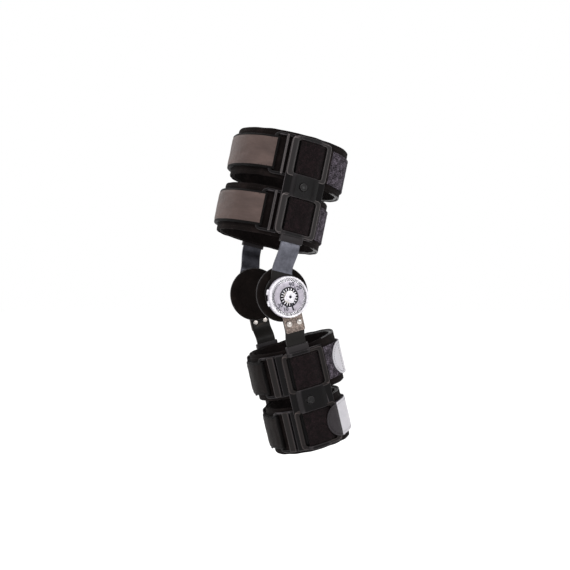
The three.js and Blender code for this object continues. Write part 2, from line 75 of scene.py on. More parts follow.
WINDOW_RADIUS = 26.6
KNOB_HALF_SIDE, SOCKET_RADIUS, KNOB_TURN = 7.4, 2.0, 52
LOCK_STEPS = (-36, -24, -12, 0, 12, 24, 36)
RIVET_PLACES = ((-6, -39), (10, -39))

# Heights above the limb's section
BASE_IN, BASE_OUT, WING_IN, WING_OUT, RAIL_OUT = 0.5, 2.5, 2.3, 4.8, 8.4
REAR_IN, FRONT_IN, FRONT_OUT, CLOSURE_IN = 0.4, 0.4, 6.6, 3.6

REAR_THICKNESS, CLOSURE_THICKNESS = 2.0, 1.6
CLOSURE_SEWN = math.radians(140)

# How far out from the middle of the knee each layer of the hinge lies
STACK = {
    "pad": (50, 62.8), "pad_plate": (63.1, 65.3), "thigh_head": (65.6, 68.6), "washer": (68.9, 69.7),
    "calf_plate": (70.0, 72.0), "dial_base": (72.3, 74.3), "extension_stop": (74.6, 76.0),
    "flexion_stop": (76.3, 77.7), "dial_cover": (78.0, 80.6), "spring_washer": (80.9, 82.0),
    "knob": (82.3, 86.3),
}


def smooth(t):
    return t * t * (3 - 2 * t)


def distances(points):
    """How far along a polyline each of its points is."""
    return np.concatenate([[0], np.cumsum(np.hypot(*np.diff(points, axis=0).T))])


class Limb:
    """One segment of the leg: which way it points, where its upright and plate are, and how it tilts."""

    def __init__(self, name, sign, tilt, **sizes):
        self.name, self.sign = name, sign
        self.__dict__.update(sizes)
        self.matrix = Matrix.Rotation(math.radians(tilt), 4, "X") @ Matrix.Scale(0.001, 4)
        self.cuff_body = f"{name}_cuffs"
        self.plate_middle = self.plate_start + PLATE_LENGTH / 2


THIGH = Limb("thigh", 1, -12.5, middle_y=-15, half_width=74, bar_y=-14, bar_in=77.0, plate_y=-14,
             head_x=STACK["thigh_head"][0], plate_start=85, plate_front=84, plate_rear=89,
             joggle=(36, 70), bar_end=214,
             window_front=17, wing_groove=(27.3, 31), wing_slot=(35, 47), wing_end=52)
CALF = Limb("calf", -1, 14, middle_y=8, half_width=56, bar_y=2, bar_in=59.4, head_x=66.7, plate_y=6,
            plate_start=81, plate_front=56, plate_rear=78, joggle=(46, 66), bar_end=207,
            window_front=20.5, wing_groove=(35, 36.8), wing_slot=(47, 59), wing_end=64)


class Section:
    """A limb's cross-section, with its own depth in front of its middle and behind it."""

    def __init__(self, limb, front, rear):
        self.limb, self.front, self.rear = limb, front, rear
        self.angles = np.linspace(-math.pi, math.pi, 1441)
        lengths = distances(self.at(self.angles, 0))
        self.lengths = lengths - np.interp(0, self.angles, lengths)

    def at(self, angle, height):
        depth = np.where(np.sin(angle) < 0, self.front, self.rear)
        x = (self.limb.half_width + height) * np.cos(angle)
        y = self.limb.middle_y + (depth + height) * np.sin(angle)
        return np.stack([x, y], axis=-1)

    def angle_at(self, y):
        depth = self.front if y < self.limb.middle_y else self.rear
        return math.asin((y - self.limb.middle_y) / depth)

    def along(self, angle):
        return float(np.interp(angle, self.angles, self.lengths))

    def wrap(self, points):
        """Flat pattern points (along, up, height) as points on the limb."""
        plan = self.at(np.interp(points[:, 0], self.lengths, self.angles), points[:, 2])
        return np.column_stack([plan, points[:, 1]])


class Cuff:
    """One of the four cuffs; lip is the liner's edge that rises at the back of the leg, and by how much."""

    def __init__(self, name, limb, order, front, rear, closure_start, lip, lead_in=()):
        self.name, self.limb, self.lead_in = name, limb, lead_in
        self.closure_start = math.radians(closure_start)
        self.lip_side, self.lip_rise = lip
        self.middle = limb.sign * (limb.plate_start + MARGIN + WINDOW / 2 + order * (WINDOW + BRIDGE))
        self.section = Section(limb, front, rear)
        self.round_average = (limb.half_width + front) / 2
        self.strap_low, self.strap_high = self.middle - STRAP_HEIGHT / 2, self.middle + STRAP_HEIGHT / 2


CUFFS = [
    Cuff("lower_thigh", THIGH, 0, 84, 72, 84, (-1, 3)),
    Cuff("upper_thigh", THIGH, 1, 81, 89, 84, (1, 1.5)),
    Cuff("upper_calf", CALF, 0, 56, 78, 38, (1, 6)),
    Cuff("lower_calf", CALF, 1, 50, 66, 50, (1, 4),
         [(65.3, 19.5), (64.3, 26), (63.2, 32.5), (61, 39.2), (49.9, 50.4)]),
]
PLATE_SECTIONS = {limb.name: Section(limb, limb.plate_front, limb.plate_rear) for limb in (THIGH, CALF)}

# ---- Materials ---------------------------------------------------------------------------------


class Finish:
    """A procedural material under construction: a Principled shader and short calls that add detail to it."""

    def __init__(self, name, color, roughness, metallic=0.0, **inputs):
        self.material = bpy.data.materials.new(name)
        self.material.use_nodes = True
        self.nodes, self.links = self.material.node_tree.nodes, self.material.node_tree.links
        self.shader = self.nodes["Principled BSDF"]
        self.shader.inputs["Base Color"].default_value = (*color, 1)
        self.shader.inputs["Roughness"].default_value = roughness
        self.shader.inputs["Metallic"].default_value = metallic
        for key, value in inputs.items():
            self.shader.inputs[key.replace("_", " ")].default_value = value

    def node(self, kind, **settings):
        """A shader node; each setting is one of its properties or, with spaces as underscores, an input."""
        made = self.nodes.new(kind)
        for key, value in settings.items():
            if hasattr(made, key):
                setattr(made, key, value)
            else:
                made.inputs[key.replace("_", " ")].default_value = value
        return made

    def place(self, pattern=True, stretch=(1, 1, 1)):
        """Where detail is looked up: the flat pattern that goods were cut in, or the object's own space."""
        if pattern:
            source = self.node("ShaderNodeAttribute", attribute_name="pattern").outputs["Vector"]
        else:
            source = self.node("ShaderNodeTexCoord").outputs["Object"]
        mapping = self.node("ShaderNodeMapping")
        mapping.inputs["Scale"].default_value = stretch
        self.links.new(source, mapping.inputs["Vector"])
        return mapping.outputs["Vector"]

    def texture(self, kind, where, output, **settings):
        made = self.node(kind, **settings)
        self.links.new(where, made.inputs["Vector"])
        return made.outputs[output]

    def noise(self, where, scale, detail=4.0, rough=0.6):
        return self.texture("ShaderNodeTexNoise", where, "Fac", Scale=scale, Detail=detail, Roughness=rough)

    def speckle(self, scale, detail=4.0, rough=0.6, stretch=(1, 1, 1)):
        """Noise in the object's own space."""
        return self.noise(self.place(False, stretch), scale, detail, rough)

    def cells(self, where, scale):
        return self.texture("ShaderNodeTexVoronoi", where, "Distance", Scale=scale)

    def wave(self, where, scale, direction, distortion=0.0):
        return self.texture("ShaderNodeTexWave", where, "Fac", bands_direction=direction, Scale=scale,
                            Distortion=distortion)

    def math(self, operation, a, b):
        made = self.node("ShaderNodeMath", operation=operation)
        for socket, value in zip(made.inputs, (a, b)):
            if isinstance(value, (int, float)):
                socket.default_value = value
            else:
                self.links.new(value, socket)
        return made.outputs["Value"]

    def tint(self, factor, stops):
        """Base colour that follows a texture through (position, colour) stops."""
        ramp = self.node("ShaderNodeValToRGB")
        while len(ramp.color_ramp.elements) < len(stops):
            ramp.color_ramp.elements.new(0.5)
        for element, (position, color) in zip(ramp.color_ramp.elements, stops):
            element.position = position
            element.color = (*color, 1)
        self.links.new(factor, ramp.inputs["Fac"])
        self.links.new(ramp.outputs["Color"], self.shader.inputs["Base Color"])
        return self

    def vary(self, factor, low, high):
        """Roughness that follows a texture."""
        made = self.node("ShaderNodeMapRange", To_Min=low, To_Max=high)
        self.links.new(factor, made.inputs["Value"])
        self.links.new(made.outputs["Result"], self.shader.inputs["Roughness"])
        return self

    def bump(self, *layers):
        """Height detail: each layer is (texture, depth in metres)."""
        normal = None
        for factor, depth in layers:
            made = self.node("ShaderNodeBump", Distance=depth, Strength=1.0)
            self.links.new(factor, made.inputs["Height"])
            if normal is not None:
                self.links.new(normal, made.inputs["Normal"])
            normal = made.outputs["Normal"]
        self.links.new(normal, self.shader.inputs["Normal"])
        return self

    def edges(self):
        return self.node("ShaderNodeNewGeometry").outputs["Pointiness"]


def shade(color, factor):
    return tuple(min(1.0, channel * factor) for channel in color)


def moulded_plastic(name, color, roughness=0.4, specular=0.35):
    """Glass-filled nylon: fine spark-eroded grain, paler along its edges as rubbed wear with a painted
    highlight, and darker in hollows as painted shade.
    """
    finish = Finish(name, color, roughness, Specular_IOR_Level=specular)
    grain = finish.speckle(2600, 3)
    patches = finish.speckle(45, 5)
    # Pointiness tint: hollows darker as painted shade; edges up to eleven times paler as wear and painted
    # highlight.
    finish.tint(finish.edges(), [(0.46, shade(color, 0.7)), (0.51, color), (0.57, shade(color, 11))])
    return finish.vary(patches, roughness - 0.12, roughness + 0.14).bump((grain, 0.00006)).material


def satin_pad(name, color):
    """Smooth laminated strap fabric: a very fine knit with a soft sheen and faint handling marks."""
    finish = Finish(name, color, 0.5, Sheen_Weight=0.02, Sheen_Roughness=0.35, Specular_IOR_Level=0.12)
    flat = finish.place()
    knit = finish.math("MULTIPLY", finish.wave(flat, 0.62, "X", 0.6), finish.wave(flat, 0.62, "Y", 0.6))
    marks = finish.noise(finish.place(stretch=(0.6, 1.6, 1)), 0.045, 5)
    creases = finish.noise(finish.place(stretch=(1.5, 0.35, 1)), 0.06, 3)
    finish.tint(marks, [(0.30, shade(color, 0.72)), (0.52, color), (0.72, shade(color, 1.3))])
    return finish.vary(marks, 0.38, 0.6).bump((creases, 0.0007), (knit, 0.00006)).material


def woven_strap(name, color, gloss=0.5, scale=0.45, contrast=1.5, specular=0.25):
    """Narrow-woven webbing: ribs across its length and pairs of warp threads."""
    finish = Finish(name, color, gloss, Sheen_Weight=0.01, Sheen_Roughness=0.4, Specular_IOR_Level=specular)
    flat = finish.place()
    ribs, warp = finish.wave(flat, scale, "Y", 0.3), finish.wave(flat, scale * 0.55, "X", 0.5)
    weave = finish.math("MULTIPLY", ribs, warp)
    patches = finish.noise(flat, 0.08, 4)
    streaks = finish.noise(finish.place(stretch=(0.15, 2.2, 1)), 0.5, 4)
    tone = finish.math("ADD", finish.math("MULTIPLY", weave, 0.35), finish.math("MULTIPLY", patches, 0.3))
    tone = finish.math("ADD", tone, finish.math("MULTIPLY", streaks, 0.35))
    finish.tint(tone, [(0.2, shade(color, 1 / contrast)), (0.45, color), (0.8, shade(color, contrast))])
    return finish.bump((patches, 0.0005), (weave, 0.00022)).material


def loop_pile(name, color, glint):
    """Unbrushed loop fabric: matted loops with a pale violet glint where they catch the light."""
    finish = Finish(name, color, 0.85, Sheen_Weight=0.01, Sheen_Roughness=0.6, Specular_IOR_Level=0.06)
    flat = finish.place()
    tufts = finish.cells(flat, 0.7)
    tangle = finish.noise(flat, 0.85, 8, 0.8)
    clumps = finish.noise(flat, 0.14, 4)
    tone = finish.math("ADD", finish.math("MULTIPLY", tangle, 0.78), finish.math("MULTIPLY", clumps, 0.22))
    finish.tint(tone, [(0.38, shade(color, 0.5)), (0.48, color), (0.53, shade(glint, 0.35)), (0.60, glint)])
    return finish.bump((clumps, 0.0010), (tufts, 0.0009), (tangle, 0.0009)).material


def brushed_foam(name, color):
    """Foam laminated with brushed fabric: short nap in soft patches."""
    finish = Finish(name, color, 0.9, Sheen_Weight=0.01, Sheen_Roughness=0.5, Specular_IOR_Level=0.06)
    where = finish.place(False)
    nap = finish.noise(where, 1500, 5, 0.7)
    patches = finish.noise(where, 60, 5)
    finish.tint(patches, [(0.30, shade(color, 0.6)), (0.55, color), (0.75, shade(color, 2.4))])
    return finish.bump((patches, 0.0006), (nap, 0.00018)).material


def brushed_metal(name, color, roughness, stretch=(1, 1, 22), scale=90, depth=0.00002, mottle=(0.6, 1.3),
                  size=55):
    """Metal with a fine grain that runs across its length and small dull patches."""
    finish = Finish(name, color, roughness, 1.0)
    grain = finish.speckle(scale, 6, 0.7, stretch)
    smudges = finish.speckle(size, 6, 0.7)
    finish.tint(smudges, [(0.32, shade(color, mottle[0])), (0.5, color), (0.68, shade(color, mottle[1]))])
    return finish.vary(grain, roughness - 0.1, roughness + 0.16).bump((grain, depth)).material


def coated_metal(name, color, roughness):
    """Powder-coated bar: slight orange peel, paler worn edges, and darker hollows as painted shade."""
    finish = Finish(name, color, roughness, Specular_IOR_Level=0.14)
    peel = finish.speckle(700, 2)
    patches = finish.speckle(50, 5)
    # Pointiness tint: hollows darker as painted shade, edges paler as wear.
    finish.tint(finish.edges(), [(0.47, shade(color, 0.8)), (0.52, color), (0.60, shade(color, 7))])
    return finish.vary(patches, roughness - 0.1, roughness + 0.1).bump((peel, 0.00008)).material


def dial_plastic(name, color, roughness=0.28, metallic=0.25):
    """Silver-pigmented plastic with faint turning marks and mottling."""
    finish = Finish(name, color, roughness, metallic, Coat_Weight=0.3, Coat_Roughness=0.1)
    mottle = finish.speckle(160, 5)
    fleck = finish.speckle(2500, 3)
    finish.tint(mottle, [(0.30, shade(color, 0.68)), (0.50, color), (0.72, shade(color, 1.2))])
    return finish.vary(mottle, roughness - 0.1, roughness + 0.15).bump((fleck, 0.00002)).material


def clear_plastic(name):
    """Polycarbonate with very light scuffs."""
    finish = Finish(name, (0.985, 0.985, 0.99), 0.03, 0.0, Transmission_Weight=1.0, IOR=1.22)
    scuffs = finish.speckle(260, 6, 0.7, (1, 5, 1))
    return finish.vary(scuffs, 0.0, 0.05).material


MATERIALS = {
    "plate": moulded_plastic("moulded_black", (0.0034, 0.0030, 0.0032), 0.34, 0.07),
    # Paler copies of the black moulding for the rail tops: painted highlight, brighter on the thigh than on
    # the calf.
    "thigh_rail": moulded_plastic("moulded_black_rail_highlight", (0.0110, 0.0092, 0.0092), 0.3, 0.2),
    "calf_rail": moulded_plastic("moulded_black_rail_highlight_dim", (0.0060, 0.0046, 0.0044), 0.32, 0.12),
    "button": moulded_plastic("button_black", (0.0036, 0.0032, 0.0034), 0.3, 0.2),
    "pad_strap": satin_pad("strap_pad_brown", (0.066, 0.045, 0.040)),
    "binding": woven_strap("binding_black", (0.0036, 0.0030, 0.0030), 0.6, 0.8, 1.5, 0.06),
    "black_strap": woven_strap("strap_black_woven", (0.0064, 0.0044, 0.0041), 0.6, 0.38, 1.9, 0.06),
    # Light grey for the calf closure straps and the upper calf's tab: a painted highlight on dark grey
    # strapping that faces the light.
    "highlight_grey_strap": woven_strap("strap_grey_painted_highlight", (0.50, 0.485, 0.52), 0.36, 0.8, 1.12, 0.4),
    "hook": woven_strap("hook_tab_grey", (0.030, 0.026, 0.029), 0.5, 0.9, 1.4, 0.12),
    "loop": loop_pile("loop_black", (0.0060, 0.0048, 0.0058), (0.21, 0.175, 0.22)),
    # A darker copy of the loop fabric with a dimmer glint, for the strap in the plates' windows: painted
    # shade.
    "shaded_window_loop": loop_pile("loop_black_painted_shade", (0.0040, 0.0028, 0.0030), (0.022, 0.012, 0.014)),
    "foam": brushed_foam("liner_black", (0.0048, 0.0032, 0.0030)),
    # Paler bound edges at the back of the leg: a painted highlight on the liner's binding.
    "liner_edge": woven_strap("liner_edge_binding_highlight", (0.0150, 0.0130, 0.0140), 0.4, 0.9, 3.0, 0.4),
    "cover": brushed_foam("pad_cover_black", (0.0046, 0.0030, 0.0026)),
    "blue_bar": brushed_metal("bar_blue_grey", (0.082, 0.083, 0.099), 0.36, mottle=(0.55, 1.5)),
    "black_bar": coated_metal("bar_black", (0.0040, 0.0030, 0.0024), 0.42),
    "steel": brushed_metal("hinge_steel", (0.125, 0.100, 0.088), 0.38, (1, 1, 1), 700, 0.00005, (0.3, 2.8),
                           520),
    "rivet": brushed_metal("rivet_steel", (0.47, 0.435, 0.41), 0.2, (1, 1, 1), 300),
    "dial": dial_plastic("dial_silver", (0.30, 0.275, 0.32)),
    # Pale plastic of the stops, washer and knob; on the clear dial rim it is a painted highlight.
    "pale": dial_plastic("pale_stops_and_rim_highlight", (0.62, 0.60, 0.64), 0.25, 0.05),
    "clear": clear_plastic("dial_clear"),
    # Black print on the dial; also the painted shade at the bottom of the knob's socket.
    "print": moulded_plastic("dial_print_and_socket_shade_black", (0.004, 0.004, 0.005), 0.5, 0.1),
    "thread": woven_strap("thread_dark", (0.012, 0.009, 0.008), 0.6, 2.0, 1.3, 0.1),
    "grey_thread": woven_strap("thread_grey", (0.30, 0.285, 0.31), 0.6, 2.0, 1.3),
}

# ---- Shapes ------------------------------------------------------------------------------------


class Shape:
    """Points in millimetres, faces, and for each point its place in the flat pattern that it was cut in."""

    def __init__(self, points, faces, pattern=None):
        self.points = np.asarray(points, float).reshape(-1, 3)
        self.faces = [tuple(face) for face in faces]
        self.pattern = self.points.copy() if pattern is None else np.asarray(pattern, float)

    def __add__(self, other):
        shift = len(self.points)
        return Shape(
            np.vstack([self.points, other.points]),
            self.faces + [tuple(i + shift for i in face) for face in other.faces],
            np.vstack([self.pattern, other.pattern]),
        )

    def moved(self, x=0, y=0, z=0):
        return Shape(self.points + (x, y, z), self.faces, self.pattern)

    def turned(self, degrees):
        """Turned about the knee's axis."""
        matrix = np.array(Matrix.Rotation(math.radians(degrees), 3, "X"))
        return Shape(self.points @ matrix.T, self.faces, self.pattern)

    def mirrored(self):
        return Shape(self.points * (-1, 1, 1), [face[::-1] for face in self.faces], self.pattern)

    def mapped(self, function):
        """The same faces with their points moved by a function; the pattern keeps where they were."""
        return Shape(function(self.points), self.faces, self.points.copy())

    def sliced(self, axis, step):
        """Cut across at even steps so that it can bend."""
        mesh = bmesh.new()
        made = [mesh.verts.new(point) for point in self.points]
        for face in self.faces:
            mesh.faces.new([made[i] for i in face])
        low, high = self.points[:, axis].min(), self.points[:, axis].max()
        normal = Vector((0, 0, 0))
        normal[axis] = 1
        count = max(1, round((high - low) / step))
        for i in range(1, count):
            place = Vector((0, 0, 0))
            place[axis] = low + (high - low) * i / count
            everything = mesh.verts[:] + mesh.edges[:] + mesh.faces[:]
            bmesh.ops.bisect_plane(mesh, geom=everything, plane_co=place, plane_no=normal, dist=1e-4)
        mesh.verts.index_update()
        result = Shape([v.co[:] for v in mesh.verts], [[v.index for v in face.verts] for face in mesh.faces])
        mesh.free()
        return result


def total(shapes):
    shapes = list(shapes)
    result = shapes[0]
    for shape in shapes[1:]:
        result = result + shape
    return result


def inset(outline, distance):
    """A closed outline moved to its left, with mitred corners."""
    before = np.roll(outline, 1, axis=0)
    after = np.roll(outline, -1, axis=0)
    first = (outline - before) / np.linalg.norm(outline - before, axis=1, keepdims=True)
    second = (after - outline) / np.linalg.norm(after - outline, axis=1, keepdims=True)
    left_first = np.column_stack([-first[:, 1], first[:, 0]])
    left_second = np.column_stack([-second[:, 1], second[:, 0]])
    mitre = (left_first + left_second) / (1 + np.sum(left_first * left_second, axis=1, keepdims=True))
    return outline + mitre * distance


def slab(outline, low, high, rounding, holes=(), steps=3):
    """A flat plate with rounded edges, from a counter-clockwise outline and clockwise holes."""
    points, faces, caps = [], [], ([], [])
    sweep = [math.pi / 2 * i / steps for i in range(steps + 1)]
    profile = [(rounding * (1 - math.sin(a)), low + rounding * (1 - math.cos(a))) for a in sweep]
    profile += [(rounding * (1 - math.cos(a)), high - rounding * (1 - math.sin(a))) for a in sweep]
    for loop in (outline, *holes):
        loop = np.asarray(loop, float)
        count, start = len(loop), len(points)
        for distance, height in profile:
            ring = inset(loop, distance)
            points += [(x, y, height) for x, y in ring]
        for k in range(len(profile) - 1):
            for i in range(count):
                j = (i + 1) % count
                a, b = start + k * count, start + (k + 1) * count
                faces.append((a + i, a + j, b + j, b + i))
        caps[0].append(list(range(start, start + count)))
        caps[1].append(list(range(start + (len(profile) - 1) * count, start + len(profile) * count)))
    for cap, upward in zip(caps, (False, True)):
        loops = [[Vector((*points[i][:2], 0)) for i in ring] for ring in cap]
        flat = [i for ring in cap for i in ring]
        for triangle in geometry.tessellate_polygon(loops):
            a, b, c = (Vector(points[flat[i]][:2]) for i in triangle)
            face = [flat[i] for i in triangle]
            if ((b - a).cross(c - a) > 0) != upward:
                face.reverse()
            faces.append(face)
    return Shape(points, faces)


def filleted(points, radius, closed=True, steps=5):
    """A polyline with its corners rounded; radius is one value, or one for each point."""
    points = [np.array(point, float) for point in points]
    count = len(points)
    radii = [radius] * count if isinstance(radius, (int, float)) else radius
    result = []
    for i, (corner, r) in enumerate(zip(points, radii)):
        if r == 0 or (not closed and i in (0, count - 1)):
            result.append(corner)
            continue
        before, after = points[i - 1] - corner, points[(i + 1) % count] - corner
        reach = min(r, np.linalg.norm(before) * 0.499, np.linalg.norm(after) * 0.499)
        first = corner + before / np.linalg.norm(before) * reach
        last = corner + after / np.linalg.norm(after) * reach
        for t in np.linspace(0, 1, steps + 1):
            result.append(first * (1 - t) ** 2 + corner * 2 * t * (1 - t) + last * t ** 2)
    return np.array(result)


def rounded(points, radius, **options):
    """A filleted polyline as plain points."""
    return [tuple(point) for point in filleted(points, radius, **options)]


def rectangle(x0, x1, y0, y1, radius=0, hole=False):
    outline = filleted([(x0, y0), (x1, y0), (x1, y1), (x0, y1)], radius)
    return outline[::-1] if hole else outline


def circle(radius, x=0, y=0, count=48, clockwise=False):
    sign = -1 if clockwise else 1
    angles = [2 * math.pi * sign * i / count for i in range(count)]
    return np.array([(x + radius * math.cos(a), y + radius * math.sin(a)) for a in angles])


def lathe(profile, segments=72):
    """A piece turned about the knee's axis, from (radius, x) points that end on the axis or close."""
    points, faces = [], []
    closed = profile[0] == profile[-1]
    if closed:
        profile = profile[:-1]
    rings = []
    for radius, x in profile:
        if radius == 0:
            rings.append([len(points)] * segments)
            points.append((x, 0, 0))
        else:
            rings.append(list(range(len(points), len(points) + segments)))
            angles = (2 * math.pi * i / segments for i in range(segments))
            points += [(x, radius * math.cos(a), radius * math.sin(a)) for a in angles]
    pairs = list(zip(rings, rings[1:] + rings[:1] if closed else rings[1:]))
    for lower, upper in pairs:
        for i in range(segments):
            j = (i + 1) % segments
            face = list(dict.fromkeys((lower[i], upper[i], upper[j], lower[j])))
            if len(face) > 2:
                faces.append(face[::-1])
    return Shape(points, faces)


def divided(line, step, closed=False):
    """A polyline with more points, about a step apart; one that isn't closed keeps its last point."""
    result = []
    ahead = np.roll(line, -1, axis=0)
    for a, b in zip(line, ahead) if closed else zip(line[:-1], ahead):
        parts = max(1, int(np.linalg.norm(b - a) // step))
        result += [tuple(a + (b - a) * i / parts) for i in range(parts)]
    return result if closed else [*result, tuple(line[-1])]


def upright_plate(shape):
    """A slab drawn in (y, z) with its height along +X."""
    return Shape(shape.points[:, [2, 0, 1]], shape.faces)


def on_edge(shape):
    """A slab drawn in (along, height) and raised up the limb, as flat pattern points."""
    return Shape(shape.points[:, [0, 2, 1]], [face[::-1] for face in shape.faces])


TRACK_STEPS, TRACK_SAMPLES = 16, 400


class Track:
    """A curve round the limb in plan that a strap follows; heights are measured to its right."""

    def __init__(self, points):
        points = np.asarray(points, float)
        padded = np.vstack([2 * points[0] - points[1], points, 2 * points[-1] - points[-2]])
        fine = []
        for i in range(1, len(padded) - 2):
            a, b, c, d = padded[i - 1:i + 3]
            for t in np.linspace(0, 1, TRACK_STEPS, endpoint=False):
                fine.append(0.5 * (2 * b + (c - a) * t + (2 * a - 5 * b + 4 * c - d) * t * t
                                   + (3 * b - a - 3 * c + d) * t ** 3))
        fine = np.array(fine + [points[-1]])
        lengths = distances(fine)
        self.length = lengths[-1]
        self.places = np.linspace(0, self.length, TRACK_SAMPLES)
        self.line = np.column_stack([np.interp(self.places, lengths, fine[:, k]) for k in (0, 1)])
        tangent = np.gradient(self.line, axis=0)
        tangent /= np.linalg.norm(tangent, axis=1, keepdims=True)
        self.normal = np.column_stack([tangent[:, 1], -tangent[:, 0]])

    def wrap(self, points):
        result = [np.interp(points[:, 0], self.places, self.line[:, k])
                  + points[:, 2] * np.interp(points[:, 0], self.places, self.normal[:, k]) for k in (0, 1)]
        return np.column_stack([*result, points[:, 1]])


def ripple(points, size, scale):
    """Smooth unevenness, the same in each run."""
    u, v, h = points[:, 0] / scale, points[:, 1] / scale, points[:, 2] / scale
    return size * (np.sin(1.7 * u + 0.6 * v + 0.4) * np.cos(0.9 * v - 0.5 * u + 1.3 * h)
                   + 0.5 * np.sin(3.1 * u - 1.9 * v + 2.1) * np.cos(2.7 * v + h))


def stitches(line, height, closed=False, length=2.4, gap=1.3, radius=0.34):
    """A row of thread stitches along a line of (along, up) points, in the flat pattern."""
    line = np.asarray(line, float)
    if closed:
        line = np.vstack([line, line[:1]])
    lengths = distances(line)
    count = int(lengths[-1] // (length + gap))
    points, faces = [], []
    for i in range(count):
        middle = (i + 0.5) * lengths[-1] / count
        ends = [np.array([np.interp(middle + side * length / 2, lengths, line[:, k]) for k in (0, 1)])
                for side in (-1, -0.6, 0.6, 1)]
        along = (ends[3] - ends[0]) / max(np.linalg.norm(ends[3] - ends[0]), 1e-6)
        across = np.array([-along[1], along[0]])
        base = len(points)
        for end, size, lift in zip(ends, (0.35, 1, 1, 0.35), (-0.1, 0, 0, -0.1)):
            for k in range(6):
                a = math.pi * k / 3
                side = end + across * radius * size * math.cos(a)
                points.append((*side, height + lift + radius * size * math.sin(a)))
        for k in range(3):
            for j in range(6):
                n = (j + 1) % 6
                lower, upper = base + 6 * k, base + 6 * k + 6
                faces.append((lower + j, lower + n, upper + n, upper + j))
        faces.append(tuple(base + j for j in range(5, -1, -1)))
        faces.append(tuple(base + 18 + j for j in range(6)))
    return Shape(points, faces)


# ---- Pieces ------------------------------------------------------------------------------------


def placed(name, data):
    """A new object in the scene."""
    made = bpy.data.objects.new(name, data)
    bpy.context.scene.collection.objects.link(made)
    return made


def piece(name, shape, limb, body, finish, slot, replaces=(), crease=38, trim=None):
    """Make one visible piece that moves with a body and stands for the named CAD nodes.

    trim is (finish, test): faces whose middle passes the test in the flat pattern take that finish.
    """
    mesh = bpy.data.meshes.new(name)
    mesh.from_pydata([tuple(point) for point in shape.points], [], shape.faces)
    attribute = mesh.attributes.new("pattern", "FLOAT_VECTOR", "POINT")
    attribute.data.foreach_set("vector", shape.pattern.astype(np.float32).ravel())
    mesh.transform(limb.matrix)
    mesh.validate()
    mesh.shade_smooth()
    mesh.set_sharp_from_angle(angle=math.radians(crease))
    mesh.materials.append(MATERIALS[finish])
    if trim:
        mesh.materials.append(MATERIALS[trim[0]])
        middles = np.array([shape.pattern[list(face)].mean(axis=0) for face in shape.faces])
        if len(middles) == len(mesh.polygons):
            mesh.polygons.foreach_set("material_index", trim[1](middles).astype(np.int32))
    made = placed(name, mesh)
    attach(made, body)
    if replaces:
        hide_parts(*replaces)
    return made


def both_sides(name, shape, limb, body, finish, slot, stands_for="same", **options):
    """The lateral piece and its mirror image on the medial side.

    stands_for is the CAD node's name without its side: "same" for the piece's own name, None for no node.
    """
    made = []
    for side in ("lateral", "medial"):
        nodes = () if stands_for is None else (f"{side}_{name if stands_for == 'same' else stands_for}",)
        mirrored = shape if side == "lateral" else shape.mirrored()
        rides = body.format(side=side)
        made.append(piece(f"{side}_{name}_look", mirrored, limb, rides, finish, slot, nodes, **options))
    return made


# ---- Moulded side plates -----------------------------------------------------------------------

BUTTON_RADIUS = 5.5
COVER_HALF_WIDTH = 19
COVER_WALL = 4.4
COVER_FLAT, COVER_CREST = 17, 14.5
NOSE_WALL = 2
WING_BAR = 2.0


def ends(limb):
    """The heights of the plate's lower and upper ends."""
    return sorted((limb.sign * limb.plate_start, limb.sign * (limb.plate_start + PLATE_LENGTH)))


def plate_cuffs(limb):
    return sorted((cuff for cuff in CUFFS if cuff.limb is limb), key=lambda cuff: cuff.middle)


def strap_windows(limb):
    """The heights that each of the plate's two windows lies between."""
    return [(cuff.middle - WINDOW / 2, cuff.middle + WINDOW / 2) for cuff in plate_cuffs(limb)]


def forward(cuff, *places):
    """Places along the cuff at distances forward of its plate's middle."""
    edge = PLATE_SECTIONS[cuff.limb.name].angle_at(cuff.limb.plate_y - PLATE_FRONT)
    return [cuff.section.along(edge - (distance - PLATE_FRONT) / cuff.round_average) for distance in places]


def plate_frame(limb):
    """The base sheet and the raised rails round its two windows; the rear rail bridges the strap tunnel."""
    section = PLATE_SECTIONS[limb.name]
    front, rear = limb.plate_y - PLATE_FRONT, limb.plate_y + PLATE_REAR
    window = (limb.plate_y - limb.window_front, rear - RAIL_WIDTH)
    u0, u1, a0, a1 = (section.along(section.angle_at(y)) for y in (front, rear, *window))
    v0, v1 = ends(limb)
    windows = strap_windows(limb)
    whole = rectangle(u0, u1, v0, v1, PLATE_CORNER)
    comb = [(u0, v0), (u1, v0)]
    corners = [PLATE_CORNER, PLATE_CORNER]
    for low, high in windows:
        comb += [(u1, low), (a0, low), (a0, high), (u1, high)]
        corners += [1, 3, 3, 1]
    comb += [(u1, v1), (u0, v1)]
    corners += [PLATE_CORNER, PLATE_CORNER]
    holes = [rectangle(a0, a1, low, high, 4, hole=True) for low, high in windows]
    button = (section.along(section.angle_at(limb.bar_y)), (v0 + v1) / 2)
    well = circle(BUTTON_RADIUS + 2 * GAP, *button, clockwise=True)
    shapes = [
        slab(whole, BASE_IN, BASE_OUT + 0.1, 0.6),
        slab(filleted(comb, corners), BASE_OUT - 0.1, 5.5, 0.3),
        slab(whole, 5.4, RAIL_OUT - 1.0, 1.0, [*holes, well]),
    ]
    for low, high in windows:
        ring = rectangle(u0 + 0.5, u1 - 0.5, max(low - 4.5, v0 + 0.5), min(high + 4.5, v1 - 0.5), 7)
        hole = rectangle(a0 + 0.4, a1 - 0.4, low + 0.4, high - 0.4, 4, hole=True)
        shapes.append(slab(ring, RAIL_OUT - 2.4, RAIL_OUT, 1.5, [hole]))
    return total(shape.sliced(0, 3) for shape in shapes).mapped(section.wrap)


